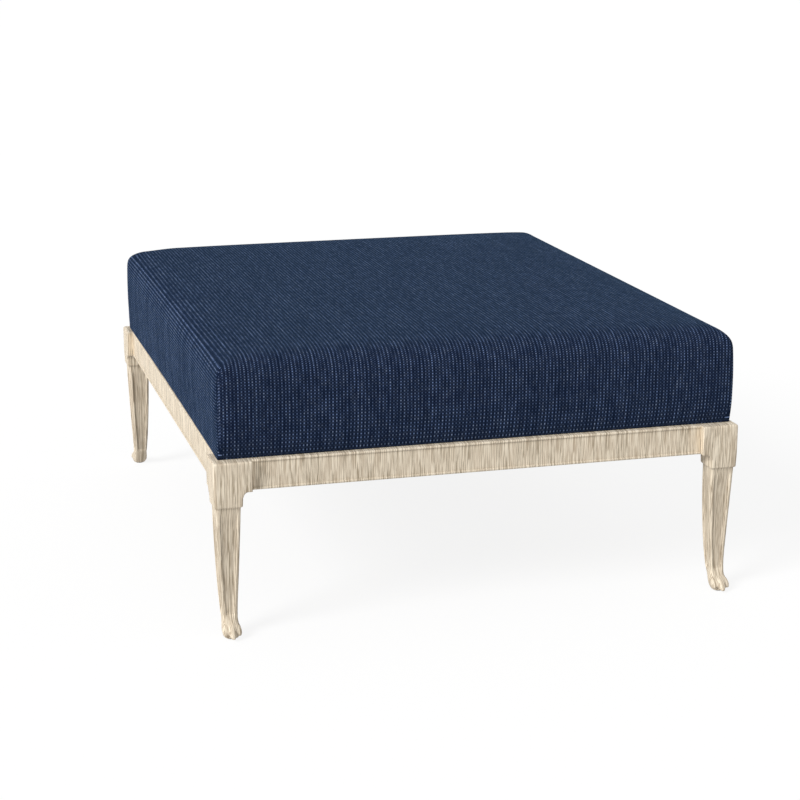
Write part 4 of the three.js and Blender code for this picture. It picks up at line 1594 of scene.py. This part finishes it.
@dataclass
class Studio:
    """Plain pale floor, soft light from the left and the camera at the photograph's angle."""

    white: Colour = (1.0, 1.0, 1.0)
    sky: float = 0.46
    sun_strength: float = 2.26
    sun_angle: float = 26.0
    sun_toward: tuple[float, float, float] = (-0.54, -0.26, 0.39)
    floor_half: float = 60.0
    floor_bounce: float = 0.66
    floor_seen: float = 0.17
    floor_glow: float = 0.861
    camera_place: tuple[float, float, float] = (-0.8096, -2.9365, 0.9929)
    camera_down: float = 14.596
    camera_round: float = 15.417
    camera_reach: float = 200.0
    lens: float = 88.61
    sensor: float = 36.0

    def build(self) -> None:
        """Makes the camera, the light, the backdrop and the floor."""
        self.camera()
        self.lamp()
        self.backdrop()
        self.floor()
        bpy.context.scene.view_settings.view_transform = "Standard"
        log.info("studio: camera, lamp, backdrop and floor")

    def camera(self) -> None:
        """Makes the camera."""
        data = bpy.data.cameras.new("camera")
        data.lens = self.lens
        data.sensor_width = self.sensor
        data.sensor_fit = "HORIZONTAL"
        data.clip_end = self.camera_reach
        camera = bpy.data.objects.new("camera", data)
        camera.location = self.camera_place
        camera.rotation_euler = (math.radians(90 - self.camera_down), 0.0, math.radians(-self.camera_round))
        bpy.context.scene.collection.objects.link(camera)
        bpy.context.scene.camera = camera

    def lamp(self) -> None:
        """Makes the large soft lamp on the left."""
        data = bpy.data.lights.new("soft_key", "SUN")
        data.energy = self.sun_strength
        data.angle = math.radians(self.sun_angle)
        lamp = bpy.data.objects.new("soft_key", data)
        lamp.rotation_mode = "QUATERNION"
        lamp.rotation_quaternion = Vector(self.sun_toward).to_track_quat("Z", "Y")
        bpy.context.scene.collection.objects.link(lamp)

    def two_looks(self, graph: Graph, lit: Socket, shown: Socket, output: str) -> None:
        """Gives a surface one look for the eye and for mirrors, and another as a light.

        Args:
            graph: the graph of the surface.
            lit: the shader that lights the object.
            shown: the shader that is seen.
            output: the type name of the output node.
        """
        path = graph.add("ShaderNodeLightPath").outputs
        seen = graph.larger(path["Is Camera Ray"], path["Is Glossy Ray"])
        seen = graph.larger(seen, path["Is Transmission Ray"])
        mixed = graph.result("ShaderNodeMixShader", {0: seen, 1: lit, 2: shown})
        graph.feed(graph.add(output).inputs["Surface"], mixed)

    def backdrop(self) -> None:
        """Makes the world: white to look at, softer as a light."""
        world = bpy.data.worlds.new("backdrop")
        bpy.context.scene.world = world
        world.use_nodes = True
        world.node_tree.nodes.clear()
        graph = Graph(world.node_tree)
        lit = graph.result("ShaderNodeBackground", {"Color": self.white, "Strength": self.sky})
        shown = graph.result("ShaderNodeBackground", {"Color": self.white})
        self.two_looks(graph, lit, shown, "ShaderNodeOutputWorld")

    def floor(self) -> None:
        """Makes the floor: near white to look at, with the object's soft shadow."""
        half = self.floor_half
        corners = [(-half, -half, 0), (half, -half, 0), (half, half, 0), (-half, half, 0)]
        mesh = bpy.data.meshes.new("floor")
        mesh.from_pydata(corners, [], [(0, 1, 2, 3)])
        material = bpy.data.materials.new("pale_floor")
        material.use_nodes = True
        material.node_tree.nodes.clear()
        graph = Graph(material.node_tree)
        bounce, seen = (
            graph.result("ShaderNodeBsdfDiffuse", {"Color": (grey, grey, grey)})
            for grey in (self.floor_bounce, self.floor_seen)
        )
        glow = graph.result("ShaderNodeEmission", {"Strength": self.floor_glow})
        shown = graph.result("ShaderNodeAddShader", {0: seen, 1: glow})
        self.two_looks(graph, bounce, shown, "ShaderNodeOutputMaterial")
        floor = piece_of("floor", mesh, material)


def main() -> None:
    """Builds the studio and every sub-assembly in order."""
    logging.basicConfig(level=logging.INFO, format="%(name)s: %(message)s")
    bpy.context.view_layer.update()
    effects = Effects()
    Studio().build()
    wash = BrushedWash().material(effects)
    coat = PowderCoat().material(effects)
    # Each metal's second colour serves its stains and its painted shade in recesses.
    steel = WornMetal("screw_steel", (0.52, 0.51, 0.50), (0.30, 0.28, 0.26), (0.78, 0.77, 0.75))
    metal = WornMetal("zip_metal", (0.24, 0.235, 0.23), (0.10, 0.10, 0.10), (0.62, 0.61, 0.60))
    CornerCastings().build(wash)
    parts = FrameParts()
    parts.dress(parts.rails, wash)
    parts.dress(parts.slats, coat)
    parts.dress(parts.ledges, coat)
    parts.dress(parts.screws, steel.material(effects))
    parts.dress(parts.glides, MouldedPlastic().material(effects))
    cushion = Cushion()
    form = cushion.form
    cloth = HeatherCloth(form.half_x, form.half_y, form.top, form.zip_height).material(effects)
    cushion.build(cloth, OpenFoam().material(effects))
    Zip().build(TapeCloth().material(effects), metal.material(effects))


if __name__ == "__main__":
    main()
